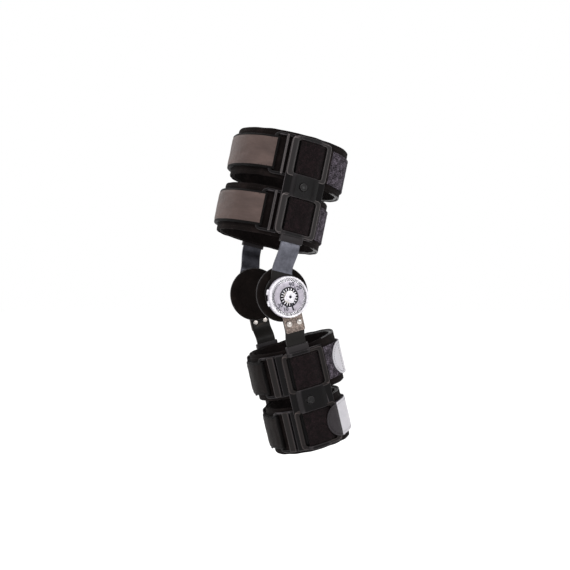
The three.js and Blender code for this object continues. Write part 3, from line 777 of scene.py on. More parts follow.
def plate_cover(limb, low, high, y_front, y_rear, hole=None):
    """The crowned cover over the upright's channel, between two heights of the limb."""
    section = PLATE_SECTIONS[limb.name]
    ceiling = limb.bar_in + BAR_THICKNESS + GAP
    top = limb.bar_in + BAR_THICKNESS + COVER_WALL
    thickness = top - ceiling
    holes = [] if hole is None else [circle(BUTTON_RADIUS + GAP, limb.bar_y, hole, clockwise=True)]
    flat = slab(rectangle(y_front, y_rear, low, high, 1.5), 0, thickness, 1.1, holes).sliced(0, 2.5)

    def bend(points):
        y, z, h = points.T
        away = np.abs(y - limb.bar_y)
        angle = np.arcsin((y - limb.middle_y) / np.where(y < limb.middle_y, section.front, section.rear))
        rail = section.at(angle, RAIL_OUT - 1.0)[:, 0]
        base = section.at(angle, BASE_OUT)[:, 0]
        limit = np.where(y < limb.bar_y, limb.bar_y - y_front, y_rear - limb.bar_y) + 0.5
        fall = smooth(np.clip((limit - away) / (limit - COVER_CREST), 0, 1))
        upper = rail + (top - 0.25 * (away / COVER_FLAT) ** 2 - rail) * fall
        lower = np.where(away < COVER_FLAT, ceiling, base)
        return np.column_stack([lower + (upper - lower) * h / thickness, y, z])

    return flat.mapped(bend)


def plate_nose(limb):
    """The short guide for the upright at the plate's knee end."""
    start, end = limb.plate_start + 1, limb.plate_start - 9
    inner, outer = limb.bar_in - GAP, limb.bar_in + BAR_THICKNESS + GAP
    front, rear = limb.bar_y - (BAR_WIDTH / 2 + GAP), limb.bar_y + (BAR_WIDTH / 2 + GAP)
    outline = rectangle(inner - NOSE_WALL, outer + NOSE_WALL, front - NOSE_WALL, rear + NOSE_WALL, 2)
    opening = rectangle(inner, outer, front, rear, 0.6, hole=True)
    return slab(outline, *sorted((limb.sign * start, limb.sign * end)), 0.6, [opening])


def wing(cuff):
    """The slotted wing that a front strap is looped through, with raised bars on both sides of its groove."""
    limb, middle = cuff.limb, cuff.middle
    end, slot_front, slot_rear, groove_front, groove_rear = forward(
        cuff, limb.wing_end, limb.wing_slot[1], limb.wing_slot[0], limb.wing_groove[1], limb.wing_groove[0])
    plate = PLATE_SECTIONS[limb.name]
    root = cuff.section.along(plate.angle_at(limb.plate_y - PLATE_FRONT + 3))
    low, high = middle - WING_HALF_HEIGHT, middle + WING_HALF_HEIGHT
    outline = filleted([(end, low), (root, low), (root, high), (end, high)], [9, 0, 0, 9])
    holes = [rectangle(a, b, middle - SLOT_HALF_HEIGHT, middle + SLOT_HALF_HEIGHT, r, hole=True)
             for a, b, r in ((slot_front, slot_rear, 3), (groove_front, groove_rear, 0.8))]
    bar = rectangle(slot_rear + 0.2, groove_front - 0.2, low + 1, high - 1, 2.2)
    shapes = [
        slab(outline, WING_IN, WING_OUT, 0.9, holes),
        slab(bar, WING_OUT - 1.2, WING_OUT + WING_BAR, 1.4),
    ]
    if groove_rear + 5 < root:
        shoulder = rectangle(groove_rear + 0.2, root, low + 1, high - 1, 2.5)
        shapes.append(slab(shoulder, WING_OUT - 1.2, WING_OUT + 1.6, 1.2))
    return total(shape.sliced(0, 2.5) for shape in shapes).mapped(cuff.section.wrap)


def rail_crown_highlights(middles):
    """Which faces of a side plate are the tops of its rails and of the wings' bars, which take a paler finish
    as a painted highlight.
    """
    height = middles[:, 2]
    return (np.abs(height - RAIL_OUT) < 0.7) | (np.abs(height - WING_OUT - WING_BAR) < 0.15)


def side_plate(limb):
    v0, v1 = ends(limb)
    windows = strap_windows(limb)
    bridge = (limb.plate_y - limb.window_front - 2, limb.plate_y + PLATE_REAR - RAIL_WIDTH + 2)
    narrow = (limb.bar_y - COVER_HALF_WIDTH, limb.bar_y + COVER_HALF_WIDTH)
    shapes = [
        plate_frame(limb),
        plate_cover(limb, windows[0][1], windows[1][0], *bridge, hole=(v0 + v1) / 2),
        plate_cover(limb, v0 + 0.6, windows[0][0], *narrow),
        plate_cover(limb, windows[1][1], v1 - 0.6, *narrow),
        plate_nose(limb),
        *(wing(cuff) for cuff in plate_cuffs(limb)),
    ]
    return total(shapes)


def length_button(limb):
    """The round lock button, dished for the thumb."""
    inner = limb.bar_in + BAR_THICKNESS + 2.6
    outer = limb.bar_in + BAR_THICKNESS + COVER_WALL + 1.8
    r = BUTTON_RADIUS
    corners = [(0, inner), (r, inner), (r, outer), (r - 1.2, outer), (r - 2, outer - 0.6), (0, outer - 0.9)]
    profile = rounded(corners, [0, 0.4, 0.8, 0.4, 1.2, 0], closed=False)
    return lathe(profile, 48).moved(0, limb.bar_y, limb.sign * limb.plate_middle)


# ---- Uprights ----------------------------------------------------------------------------------


def joggled(limb, shape):
    """Bend a flat upright outwards between the hinge and the plate."""
    first, last = limb.joggle

    def bend(points):
        t = np.clip((np.abs(points[:, 2]) - first) / (last - first), 0, 1)
        shift = limb.head_x + (limb.bar_in - limb.head_x) * smooth(t)
        return points + np.column_stack([shift, np.zeros_like(t), np.zeros_like(t)])

    return shape.sliced(2, 3).mapped(bend)


def upright_holes(limb):
    heights = (limb.sign * (limb.plate_middle + step) for step in LOCK_STEPS)
    return [circle(LOCK_HOLE, limb.bar_y, height, 20, clockwise=True) for height in heights]


def rivet_holes():
    return [circle(RIVET_HOLE, y, z, 20, clockwise=True) for y, z in RIVET_PLACES]


def pivot_hole():
    return circle(PIVOT_HOLE, 0, 0, 32, clockwise=True)


def bar_edges(limb):
    """The front and the rear of the limb's upright."""
    return limb.bar_y - BAR_WIDTH / 2, limb.bar_y + BAR_WIDTH / 2


def on_circle(radius, degrees):
    return radius * math.cos(math.radians(degrees)), radius * math.sin(math.radians(degrees))


def curve(a, b, c, d, count=10):
    """A cubic Bezier curve in the plane, without its last point."""
    a, b, c, d = (np.array(p, float) for p in (a, b, c, d))
    return [tuple(a * (1 - t) ** 3 + 3 * b * t * (1 - t) ** 2 + 3 * c * t * t * (1 - t) + d * t ** 3)
            for t in np.linspace(0, 1, count, endpoint=False)]


def thigh_bar():
    """The thigh upright: its bar sweeps down into the round head on the pivot."""
    front, rear = bar_edges(THIGH)
    r, end = THIGH_HEAD_RADIUS, THIGH.bar_end
    outline = curve((front, 34), (front, 16), (-25.2, 8), on_circle(r, 193))
    outline += [on_circle(r, 193 + step) for step in range(0, 222, 6)]
    outline += curve(on_circle(r, 55), (8, 25), (rear, 30), (rear, 44))
    outline += rounded([(rear, 44), (rear, end), (front, end), (front, 34)], [0, 6, 6, 0])[:-1]
    holes = [pivot_hole(), *upright_holes(THIGH)]
    return joggled(THIGH, upright_plate(slab(outline, 0, BAR_THICKNESS, 0.55, holes)))


def calf_bar():
    outline = rectangle(*bar_edges(CALF), -CALF.bar_end, -31, 4)
    holes = rivet_holes() + upright_holes(CALF)
    return joggled(CALF, upright_plate(slab(outline, 0, BAR_THICKNESS, 0.55, holes)))


def hinge_plate():
    """The steel plate: a round head under the dial and a tongue riveted to the calf upright."""
    front, rear = bar_edges(CALF)
    r = CALF_HEAD_RADIUS
    outline = [on_circle(r, degrees) for degrees in range(-38, 214, 6)]
    outline += curve(on_circle(r, 214), (front - 1.5, -19), (front, -24), (front, -32))
    outline += rounded([(front, -32), (front, -52), (rear, -52), (rear, -30)], [0, 2.5, 2.5, 0])[:-1]
    outline += curve((rear, -30), (rear, -24), (rear + 1.5, -20), on_circle(r, -38))
    return upright_plate(slab(outline, *STACK["calf_plate"], 0.35, [pivot_hole(), *rivet_holes()]))


def rivet(y, z):
    outer, tail = STACK["calf_plate"][1] + GAP, CALF.head_x - GAP
    corners = [(0, tail - 1.2), (3.6, tail - 1.2), (3.6, tail), (2.2, tail), (2.2, outer), (4.4, outer),
               (4.3, outer + 1.0), (2.4, outer + 1.9), (0, outer + 2.0)]
    profile = rounded(corners, [0, 0.5, 0.3, 0, 0, 0.4, 1.0, 1.6, 0], closed=False, steps=4)
    return lathe(profile, 36).moved(0, y, z)


# ---- Hinge and dial ----------------------------------------------------------------------------


def turned(corners, radius, segments=96):
    """A turned piece with rounded corners, closed if its profile is."""
    closed = corners[0] == corners[-1]
    profile = rounded(corners[:-1] if closed else corners, radius, closed=closed, steps=4)
    return lathe(profile + [profile[0]] if closed else profile, segments)


def washer(levels, inner, outer, rounding=0.3):
    low, high = levels
    return turned([(inner, low), (outer, low), (outer, high), (inner, high), (inner, low)], rounding)


def pivot_pin():
    low, high = STACK["pad_plate"]
    tip = STACK["knob"][0] + 1.6
    head, r = PIN_HEAD_RADIUS, PIN_RADIUS
    return turned([(0, low + 0.2), (head, low + 0.2), (head, high), (r, high), (r, tip), (0, tip)],
                  [0, 0.5, 0.5, 0, 0.6, 0])


def stop_ring(level, degrees):
    """A stop ring: grooved ring with a finger tab at an angle above the front."""
    low, high = STACK[level]
    ring = washer((low, high), STOP_INNER, STOP_OUTER, 0.25)
    tab = slab(rectangle(-33.2, -27.4, -4, 4, 1.6), low, high, 0.35)
    ridges = [slab(rectangle(-32.6, -30.3, z - 0.45, z + 0.45, 0.3), high - 0.1, high + 0.25, 0.15)
              for z in (-2.2, 0, 2.2)]
    return ring + total(upright_plate(shape) for shape in [tab, *ridges]).turned(-degrees)


def dial_base():
    low, high = STACK["dial_base"]
    hub = STACK["flexion_stop"][1]
    bore, rim, step = PIVOT_HOLE, DIAL_RADIUS, 20.6
    return turned([(bore, low), (rim, low), (rim, high), (step, high), (step, hub), (bore, hub), (bore, low)],
                  [0.2, 0.5, 0.5, 0, 0.3, 0.2])


def dial_window():
    return washer(STACK["dial_cover"], PIVOT_HOLE, WINDOW_RADIUS, [0.2, 0.3, 0.8, 0.3])


def dial_rim():
    """The bezel round the window, given the pale finish as a painted highlight on clear plastic, with shallow
    finger scallops.
    """
    low, high = STACK["dial_cover"]
    inner, outer = WINDOW_RADIUS + GAP, DIAL_RADIUS
    rim = turned([(inner, low), (outer, low), (outer, high + 0.6), (outer - 1.1, high + 1.4),
                  (inner + 0.4, high + 1.1), (inner, low)], [0.2, 0.4, 0.9, 0.9, 0.4], 144)
    around = np.arctan2(rim.points[:, 2], rim.points[:, 1])
    reach = np.hypot(rim.points[:, 1], rim.points[:, 2])
    depth = np.where(reach > 29, 0.28 * np.cos(around * 36), 0)
    rim.points[:, 1:] *= ((reach - 0.28 + depth) / reach)[:, None]
    return rim


def ticks(radii, level, count, width, skip=()):
    """Radial marks on the dial, evenly spaced; the numbers in skip are left out."""
    mark = slab(rectangle(*radii, -width / 2, width / 2, 0.1), level, level + PRINT_HEIGHT, 0.03)
    return total(upright_plate(mark).turned(360 * i / count) for i in range(count) if i not in skip)


def numeral(text, size, radius, degrees, level):
    """A number as thin raised print, at a radius and an angle from the rear, upright from outside."""
    data = bpy.data.curves.new("numeral", "FONT")
    data.body, data.size, data.extrude, data.resolution_u, data.offset = text, size, 0.06, 3, 0.22
    data.align_x = data.align_y = "CENTER"
    maker = placed("numeral", data)
    mesh = maker.evaluated_get(bpy.context.evaluated_depsgraph_get()).to_mesh()
    points = np.array([v.co for v in mesh.vertices], float).reshape(-1, 3)
    faces = [tuple(p.vertices) for p in mesh.polygons]
    maker.to_mesh_clear()
    bpy.data.objects.remove(maker)
    return upright_plate(Shape(points, faces)).moved(level + 0.06, *on_circle(radius, degrees))


def dial_print(side):
    """Numbers of degrees, kept readable on both sides of the knee."""
    level = STACK["dial_cover"][1] + PRINT_HEIGHT
    made = []
    for text, degrees in (("10", 240), ("30", 208), ("90", 64), ("120", 30)):
        if side == "medial":
            degrees = 180 - degrees
        made.append(numeral(text, 8.2, 18.4, degrees, level))
    shape = total(made)
    if side == "medial":
        shape = Shape(shape.points * (-1, -1, 1), shape.faces)
    return shape


def knob():
    """The diamond-shaped centre knob with a drive socket."""
    low, high = STACK["knob"]
    half = KNOB_HALF_SIDE
    square = rectangle(-half, half, -half, half, 3.4)
    socket = circle(SOCKET_RADIUS, 0, 0, 24, clockwise=True)
    body = slab(square, low, high - 1.0, 0.7, [socket], 4)
    crown = slab(square * 0.74, high - 1.6, high, 1.1, [socket], 4)
    plug = slab(circle(SOCKET_RADIUS, 0, 0, 24), low + 1.7, high - 1.4, 0.2)
    return total(upright_plate(shape) for shape in (body, crown, plug)).turned(KNOB_TURN)


# A black disc at the bottom of the knob's socket: painted shade in the recess.
def knob_socket():
    high = STACK["knob"][1]
    return upright_plate(slab(circle(SOCKET_RADIUS - 0.1, 0, 0, 24), high - 1.38, high - 1.2, 0.05))


def spring_washer():
    low, high = STACK["spring_washer"]
    return turned([(5, low + 0.5), (9, low), (9, low + 0.6), (5, high), (5, low + 0.5)], 0.1)


def swollen(shape, voxel=4.0, pressure=4.0, cap=2.5, frames=20):
    """A closed foam shape swelled by a short cloth simulation under pressure, by at most cap mm."""
    mesh = bpy.data.meshes.new("swelling")
    mesh.from_pydata([tuple(point) for point in shape.points * 0.001], [], shape.faces)
    made = placed("swelling", mesh)

    def evaluated():
        return bpy.data.meshes.new_from_object(made.evaluated_get(bpy.context.evaluated_depsgraph_get()))

    def places(source):
        return np.array([vertex.co for vertex in source.vertices], float)

    remesh = made.modifiers.new("remesh", "REMESH")
    remesh.mode, remesh.voxel_size = "VOXEL", voxel * 0.001
    start = evaluated()
    made.modifiers.clear()
    made.data = start
    cloth = made.modifiers.new("cloth", "CLOTH")
    cloth.settings.use_pressure, cloth.settings.uniform_pressure_force = True, pressure
    cloth.settings.effector_weights.gravity = 0
    for number in range(1, frames + 1):
        bpy.context.scene.frame_set(number)
    moved = places(evaluated()) - places(start)
    bpy.context.scene.frame_set(1)
    made.modifiers.clear()
    far = np.linalg.norm(moved, axis=1, keepdims=True)
    settled = places(start) + moved * np.minimum(1, cap * 0.001 / np.maximum(far, 1e-9))
    start.vertices.foreach_set("co", settled.ravel())
    start.update()
    made.modifiers.new("finer", "SUBSURF").levels = 1
    finer = evaluated()
    result = Shape(places(finer) * 1000, [tuple(face.vertices) for face in finer.polygons])
    bpy.data.objects.remove(made)
    return result


def condyle_pad():
    """A round foam pad in a sewn cover: crowned towards the knee, with a quilted ring."""
    low, high = STACK["pad"]
    middle = (low + high) / 2
    corners = [(0, low), (PAD_RADIUS - 9, low + 0.6), (PAD_RADIUS - 1.2, low + 3.2), (PAD_RADIUS, middle),
               (PAD_RADIUS - 0.8, high - 1.8), (PAD_RADIUS - 5, high - 0.2), (0, high)]
    points = filleted(corners, [0, 14, 6, 3, 3, 5, 0], closed=False, steps=6)
    pad = lathe(divided(points, 2.0), 96)
    pad = Shape((pad.points - (middle, 0, 0)) * (0.93, 0.965, 0.965) + (middle, 0, 0), pad.faces)
    pad = swollen(pad)
    reach = np.hypot(pad.points[:, 1], pad.points[:, 2])
    pad.points[:, 1:] *= PAD_RADIUS / reach.max()
    pad.points[:, 0] = np.clip(pad.points[:, 0], low, high)
    reach = np.hypot(pad.points[:, 1], pad.points[:, 2])
    inner_face = np.clip((low + 5 - pad.points[:, 0]) / 4, 0, 1)
    groove = 1.3 * np.exp(-((reach - 27) / 1.5) ** 2) * inner_face
    pad.points[:, 0] += groove + ripple(pad.points[:, [1, 2, 0]], 0.18, 6) * inner_face
    return pad


def pad_piping():
    """The cord sewn into the pad's rim."""
    middle = sum(STACK["pad"]) / 2
    rim, thick = PAD_RADIUS - 0.5, 0.9
    angles = np.linspace(-math.pi, math.pi, 13)[:-1]
    ring = [(rim + thick * math.cos(a), middle + thick * math.sin(a)) for a in angles]
    return lathe([*ring, ring[0]], 96)


# ---- Soft goods --------------------------------------------------------------------------------


def hoop(cuff, profile, steps=150):
    """A closed band round the limb from a profile of (height, up) points."""
    first, last = cuff.section.lengths[[0, -1]]
    points, faces, count = [], [], len(profile)
    for i in range(steps):
        points += [(first + (last - first) * i / steps, up, height) for height, up in profile]
        for j in range(count):
            n, i2 = (j + 1) % count, (i + 1) % steps
            faces.append((i * count + j, i * count + n, i2 * count + n, i2 * count + j))
    return Shape(points, faces)


def liner(cuff):
    """Two layers of fabric-faced foam, with soft edges and a line of stitching that draws them together."""
    half = LINER_HEIGHT / 2
    shapes = []
    for low, high, reach in ((-2.5, 0, half), (-LINER_THICKNESS, -2.8, half - 1.2)):
        corners = filleted([(low, -reach), (low, reach), (high, reach), (high, -reach)], 1.1, steps=3)
        profile = divided(corners, 2.4, closed=True)
        shapes.append(hoop(cuff, [(h, v + cuff.middle) for h, v in profile]))
    return total(shapes).mapped(lambda points: cuff.section.wrap(liner_relief(cuff, points)))


def liner_relief(cuff, points):
    """Seams drawn in, soft uneven edges, and the lip that rises at the back of the leg."""
    half = LINER_HEIGHT / 2
    u, v, h = points.T
    edge = np.abs(v - cuff.middle)
    outside = h > -1.5
    seam = np.exp(-((edge - (half - LINER_SEAM)) / 1.2) ** 2)
    rounding = np.clip((edge - half + 4) / 4, 0, 1)
    height = h - np.where(outside, 0.55 * seam + 0.4 * rounding, 0)
    height += ripple(points, 0.5, 9) * np.clip(-h / LINER_THICKNESS, 0, 1)
    girth = cuff.section.lengths[-1] - cuff.section.lengths[0]
    rear = np.clip(np.cos(2 * math.pi * (u - cuff.section.along(math.pi / 2)) / girth), 0, 1)
    lip = np.clip(cuff.lip_side * (v - cuff.middle) / half, 0, 1) ** 3
    up = v + np.where(edge > half - 6, ripple(points, 0.35, 11), 0)
    return np.column_stack([u, up + cuff.lip_side * cuff.lip_rise * rear * lip, height])


def liner_trim(cuff):
    """Which faces of the liner are its bound edges at the back of the leg, which take a paler, glossier
    finish as a painted highlight.
    """
    rear, reach, half = cuff.section.along(math.pi / 2), 65, LINER_HEIGHT / 2

    def test(middles):
        u, v, h = middles.T
        band = np.where(h < -2.65, 2.9, 1.6)
        return (np.abs(v - cuff.middle) > half - band) & (np.abs(u - rear) < reach)

    return test


def two_rows(cuff, first, last, reach, height, count=2):
    """Stitching along both edges of a strap or a liner, at a reach from its middle."""
    lines = ([(u, cuff.middle + side * reach) for u in np.linspace(first, last, count)] for side in (-1, 1))
    return [stitches(line, height) for line in lines]


def liner_stitching(cuff):
    rows = two_rows(cuff, *cuff.section.lengths[[0, -1]], LINER_HEIGHT / 2 - LINER_SEAM, -0.45, 160)
    return total(rows).mapped(cuff.section.wrap)


def front_places(cuff):
    """Along the cuff: the strap's lateral and medial folds, and its lateral wing's bar, rear and front."""
    slot_front, bar_end = forward(cuff, cuff.limb.wing_slot[1], cuff.limb.wing_end)
    last = slot_front + LOOP_WALL
    return last, 2 * cuff.section.along(-math.pi / 2) - last, slot_front, bar_end


def front_relief(cuff, points):
    """Padding, pressed edges, folds and unevenness of the front strap's outer face."""
    last, first = front_places(cuff)[:2]
    u, v, h = points.T
    outer = np.clip(h - 5.3, 0, 1)
    edge = STRAP_HEIGHT / 2 - np.abs(v - cuff.middle)
    seam = np.exp(-((edge - FRONT_SEAM) / 0.9) ** 2)
    near_end = np.clip(1 - np.minimum(last - u, u - first) / 26, 0, 1)
    fold = near_end * np.sin(u * 0.62 + 0.8 * np.sin(v * 0.16))
    height = h - outer * (0.9 * seam + 1.2 * np.clip(1 - edge / 4, 0, 1) ** 2)
    height += outer * (0.3 * fold + ripple(points, 0.3, 13))
    return np.column_stack([u, v, height])


def front_strap(cuff):
    """The padded front strap: two layers sewn together, with a loop round the wing's bar at each end."""
    last, first, slot_front, bar_end = front_places(cuff)
    quarter = cuff.section.along(-math.pi / 2)
    inside, outside = WING_IN - LOOP_CLEARANCE, WING_OUT + LOOP_CLEARANCE
    front, rear, tip = bar_end - LOOP_SIDE, slot_front + LOOP_SIDE, bar_end - 12
    loop = [(front, inside), (rear, inside), (rear, outside), (front, outside), (tip, 3.45), (tip, 3.25)]
    corners = [1, 1, 1, 1, 0, 0]
    loops = [filleted(loop, corners)[::-1], filleted([(2 * quarter - u, h) for u, h in loop], corners)]
    outline = rectangle(first, last, FRONT_IN, FRONT_OUT, 2.6)
    flat = on_edge(slab(outline, cuff.strap_low, cuff.strap_high, 0.55, loops, 2))
    flat = flat.sliced(0, 3).sliced(1, 1.6)
    return flat.mapped(lambda points: cuff.section.wrap(front_relief(cuff, points)))


def front_trim(cuff):
    """Which faces of the front strap are its black edge binding."""
    last, first = front_places(cuff)[:2]

    def test(middles):
        edge = STRAP_HEIGHT / 2 - np.abs(middles[:, 1] - cuff.middle)
        end = np.minimum(last - middles[:, 0], middles[:, 0] - first)
        return (edge < 2.4) | (end < 2.6) | (middles[:, 2] < 5.0)

    return test


def front_stitching(cuff):
    last, first = front_places(cuff)[:2]
    rows = two_rows(cuff, first + 5, last - 5, STRAP_HEIGHT / 2 - FRONT_SEAM, FRONT_OUT - 0.9)
    return total(rows).mapped(cuff.section.wrap)


def rear_track(cuff):
    """The rear strap's way: over the upright in each window, under the rear rails and round the back."""
    limb, plate = cuff.limb, PLATE_SECTIONS[cuff.limb.name]
    over_bar = limb.bar_in + BAR_THICKNESS + GAP
    rail_y, on_base = limb.plate_y + PLATE_REAR, BASE_OUT + GAP

    def at(section, y, height):
        return tuple(section.at(section.angle_at(y), height))

    bar_front, bar_rear = bar_edges(limb)
    side = [
        (over_bar, bar_front - 0.6), (over_bar + 0.3, limb.bar_y), (over_bar, bar_rear + 1),
        at(plate, rail_y - RAIL_WIDTH - 1, on_base + 0.2), at(plate, rail_y - RAIL_WIDTH / 2, on_base),
        at(plate, rail_y + 1, on_base + 0.2), at(cuff.section, rail_y + 9, REAR_IN + 0.4),
    ]
    first = cuff.section.angle_at(rail_y + 18)
    sweep = math.pi - 2 * first
    count = max(2, math.ceil(sweep / math.radians(12)))
    rear = [tuple(cuff.section.at(first + sweep * i / count, REAR_IN)) for i in range(count + 1)]
    return Track([*side, *rear, *((-x, y) for x, y in reversed(side))])


def rear_trim(cuff):
    """Which faces of the rear strap lie in the side plates' windows, where a darker copy of the loop finish
    stands for painted shade.
    """
    track = rear_track(cuff)
    reach = BAR_WIDTH + PLATE_REAR - RAIL_WIDTH / 2
    return lambda middles: (middles[:, 0] < reach) | (middles[:, 0] > track.length - reach)


def rear_strap(cuff):
    track = rear_track(cuff)
    outline = rectangle(0, track.length, 0, REAR_THICKNESS, 0.7)
    flat = on_edge(slab(outline, cuff.strap_low, cuff.strap_high, 0.6)).sliced(0, 1.8).sliced(1, 1.8)
    pile = np.array([random.uniform(-0.22, 0.2) for point in flat.points])
    flat.points[:, 2] += pile * np.clip((flat.points[:, 2] - 1) * 2, 0, 1)
    flat.points[:, 1] += np.array([random.uniform(-0.18, 0.18) for point in flat.points])
    return flat.mapped(track.wrap)


def rear_stitching(cuff):
    """The bound edge of the rear strap, whipped with thread."""
    track = rear_track(cuff)
    rows = two_rows(cuff, 6, track.length - 6, STRAP_HEIGHT / 2 - REAR_SEAM, REAR_THICKNESS)
    return total(rows).mapped(track.wrap)


def closure_track(cuff):
    """The closure strap's line from the tip of its tab; on the lower calf it first crosses the rear rail."""
    count = max(2, math.ceil(math.degrees(CLOSURE_SEWN - cuff.closure_start) / 6))
    angles = np.linspace(cuff.closure_start, CLOSURE_SEWN, count + 1)
    return Track([*cuff.lead_in, *(tuple(cuff.section.at(a, CLOSURE_IN)) for a in angles)])


def closure_strap(cuff):
    """The closure strap: webbing with thickened selvedges on a layer of hook tape."""
    track = closure_track(cuff)
    low, high = cuff.strap_low, cuff.strap_high
    start = TAB_RADIUS + GAP
    web = on_edge(slab(rectangle(start, track.length, 0, CLOSURE_THICKNESS, 0.6), low, high, 0.5, steps=2))
    hook = on_edge(slab(rectangle(start, track.length - 3, -0.9, -0.1, 0.3), low + 2, high - 2, 0.2, steps=1))
    flat = web.sliced(0, 3).sliced(1, 1.6) + hook.sliced(0, 4)
    v, h = flat.points[:, 1], flat.points[:, 2]
    edge = STRAP_HEIGHT / 2 - np.abs(v - cuff.middle)
    seam = np.exp(-((edge - CLOSURE_SEAM) / 0.8) ** 2)
    outer = np.clip(h - 0.6, 0, 1)
    flat.points[:, 2] += outer * (ripple(flat.points, 0.22, 12) - 0.4 * seam)
    return flat.mapped(track.wrap)


def closure_stitching(cuff):
    track = closure_track(cuff)
    reach, height = STRAP_HEIGHT / 2 - CLOSURE_SEAM, CLOSURE_THICKNESS - 0.25
    rows = two_rows(cuff, TAB_RADIUS + 3, track.length - 3, reach, height)
    half = STRAP_HEIGHT / 2 - 6
    left, right, low, high = track.length - 26, track.length - 4, cuff.middle - half, cuff.middle + half
    box = [(left, low), (right, low), (right, high), (left, high)]
    rows.append(stitches(box, CLOSURE_THICKNESS, closed=True))
    for diagonal in ([(left, low), (right, high)], [(left, high), (right, low)]):
        rows.append(stitches(diagonal, CLOSURE_THICKNESS + 0.1))
    return total(rows).mapped(track.wrap)


def tab_outline(cuff, radius):
    """The tab's half circle in the flat pattern."""
    return [(TAB_RADIUS - radius * math.cos(a), cuff.middle + radius * math.sin(a))
            for a in np.linspace(-math.pi / 2, math.pi / 2, 33)]


def closure_tab(cuff):
    """The half-round hook tab at the strap's end, slightly crowned with a pressed edge."""
    track = closure_track(cuff)
    arc = tab_outline(cuff, TAB_RADIUS - 0.2)
    flat = slab(np.array(arc[::-1]), -0.2, CLOSURE_THICKNESS + 0.1, 0.5).sliced(0, 2).sliced(1, 2)
    u, v, h = flat.points.T
    reach = np.hypot(u - TAB_RADIUS, v - cuff.middle)
    pressed = np.exp(-((reach - (TAB_RADIUS - TAB_SEAM)) / 0.9) ** 2)
    flat.points[:, 2] -= np.clip(h - 0.5, 0, 1) * 0.4 * pressed
    return flat.mapped(track.wrap)


def tab_stitching(cuff):
    track = closure_track(cuff)
    straight = [(TAB_RADIUS - 1.6, cuff.middle + side * 20) for side in (-1, 1)]
    rows = [stitches(tab_outline(cuff, TAB_RADIUS - TAB_SEAM), CLOSURE_THICKNESS - 0.2),
            stitches(straight, CLOSURE_THICKNESS + 0.1)]
    return total(rows).mapped(track.wrap)


# ---- Everything in place -----------------------------------------------------------------------

for limb in (THIGH, CALF):
    # The rail tops take a paler finish as a painted highlight.
    both_sides(f"{limb.name}_plate", side_plate(limb), limb, limb.cuff_body, "plate", "moulded_plate",
               trim=(f"{limb.name}_rail", rail_crown_highlights))
    both_sides(f"{limb.name}_length_button", length_button(limb), limb, f"{{side}}_{limb.name}_lock",
               "button", "button_black")


def thigh_pieces(name, shape, finish, slot, *stands_for, **options):
    return both_sides(name, shape, THIGH, "hinge_frame", finish, slot, *stands_for, **options)


def calf_pieces(name, shape, finish, slot, *stands_for, body="calf_frame"):
    return both_sides(name, shape, CALF, body, finish, slot, *stands_for)


thigh_pieces("thigh_bar", thigh_bar(), "blue_bar", "thigh_bar_metal",
             trim=("black_bar", lambda middles: middles[:, 2] < 32))
calf_pieces("calf_bar", calf_bar(), "black_bar", "calf_bar_coated")
calf_pieces("calf_hinge_plate", hinge_plate(), "steel", "hinge_steel")
for number, place in enumerate(RIVET_PLACES, 1):
    calf_pieces(f"calf_rivet_{number}", rivet(*place), "rivet", "rivet_steel")

pads = thigh_pieces("condyle_pad", condyle_pad().moved(0, *PAD_CENTRE), "cover", "pad_foam")
thigh_pieces("pad_piping", pad_piping().moved(0, *PAD_CENTRE), "button", "pad_foam", None)
pad_backing = washer(STACK["pad_plate"], PIN_HEAD_RADIUS + GAP, 30, 0.6).moved(0, *PAD_CENTRE)
thigh_pieces("pad_plate", pad_backing, "button", "moulded_plate")
thigh_pieces("pivot_pin", pivot_pin(), "rivet", "rivet_steel")
thigh_pieces("pivot_washer", washer(STACK["washer"], PIVOT_HOLE, 14), "pale", "stop_plastic")
calf_pieces("dial_base", dial_base(), "dial", "dial_grey")
for name, degrees in (("extension_stop", 26), ("flexion_stop", -4)):
    calf_pieces(name, stop_ring(name, degrees), "pale", "stop_plastic", body=f"{{side}}_{name}_ring")
calf_pieces("dial_cover", dial_window(), "clear", "dial_clear")
# The clear rim takes the opaque pale finish as a painted highlight.
calf_pieces("dial_rim", dial_rim(), "pale", "dial_clear", None)
calf_pieces("spring_washer", spring_washer(), "rivet", "rivet_steel")
calf_pieces("dial_knob", knob(), "pale", "dial_grey")
# Black at the bottom of the socket is painted shade.
calf_pieces("knob_socket", knob_socket(), "print", "dial_grey", None)

print_level = STACK["dial_cover"][1] + 0.02
printed = (print_level, print_level + 0.1)
for name, shape, finish in (
    ("dial_track", washer(printed, 8.2, 14.2, 0.03), "print"),
    ("dial_annulus", washer(printed, 14.5, 22.8, 0.03), "dial"),
    ("dial_ticks", ticks((9.2, 12.6), print_level + 0.1, 18, 1.15), "pale"),
    ("dial_slit", ticks((9.0, 20.5), print_level + 0.24, 1, 2.4).turned(276), "print"),
    ("edge_marks", ticks((23.6, 25.2), print_level, 60, 0.45, skip=range(12, 26)), "print"),
):
    calf_pieces(name, shape, finish, "dial_grey", None)
for side in ("lateral", "medial"):
    piece(f"{side}_dial_numbers_look", dial_print(side), CALF, "calf_frame", "print", "dial_grey")

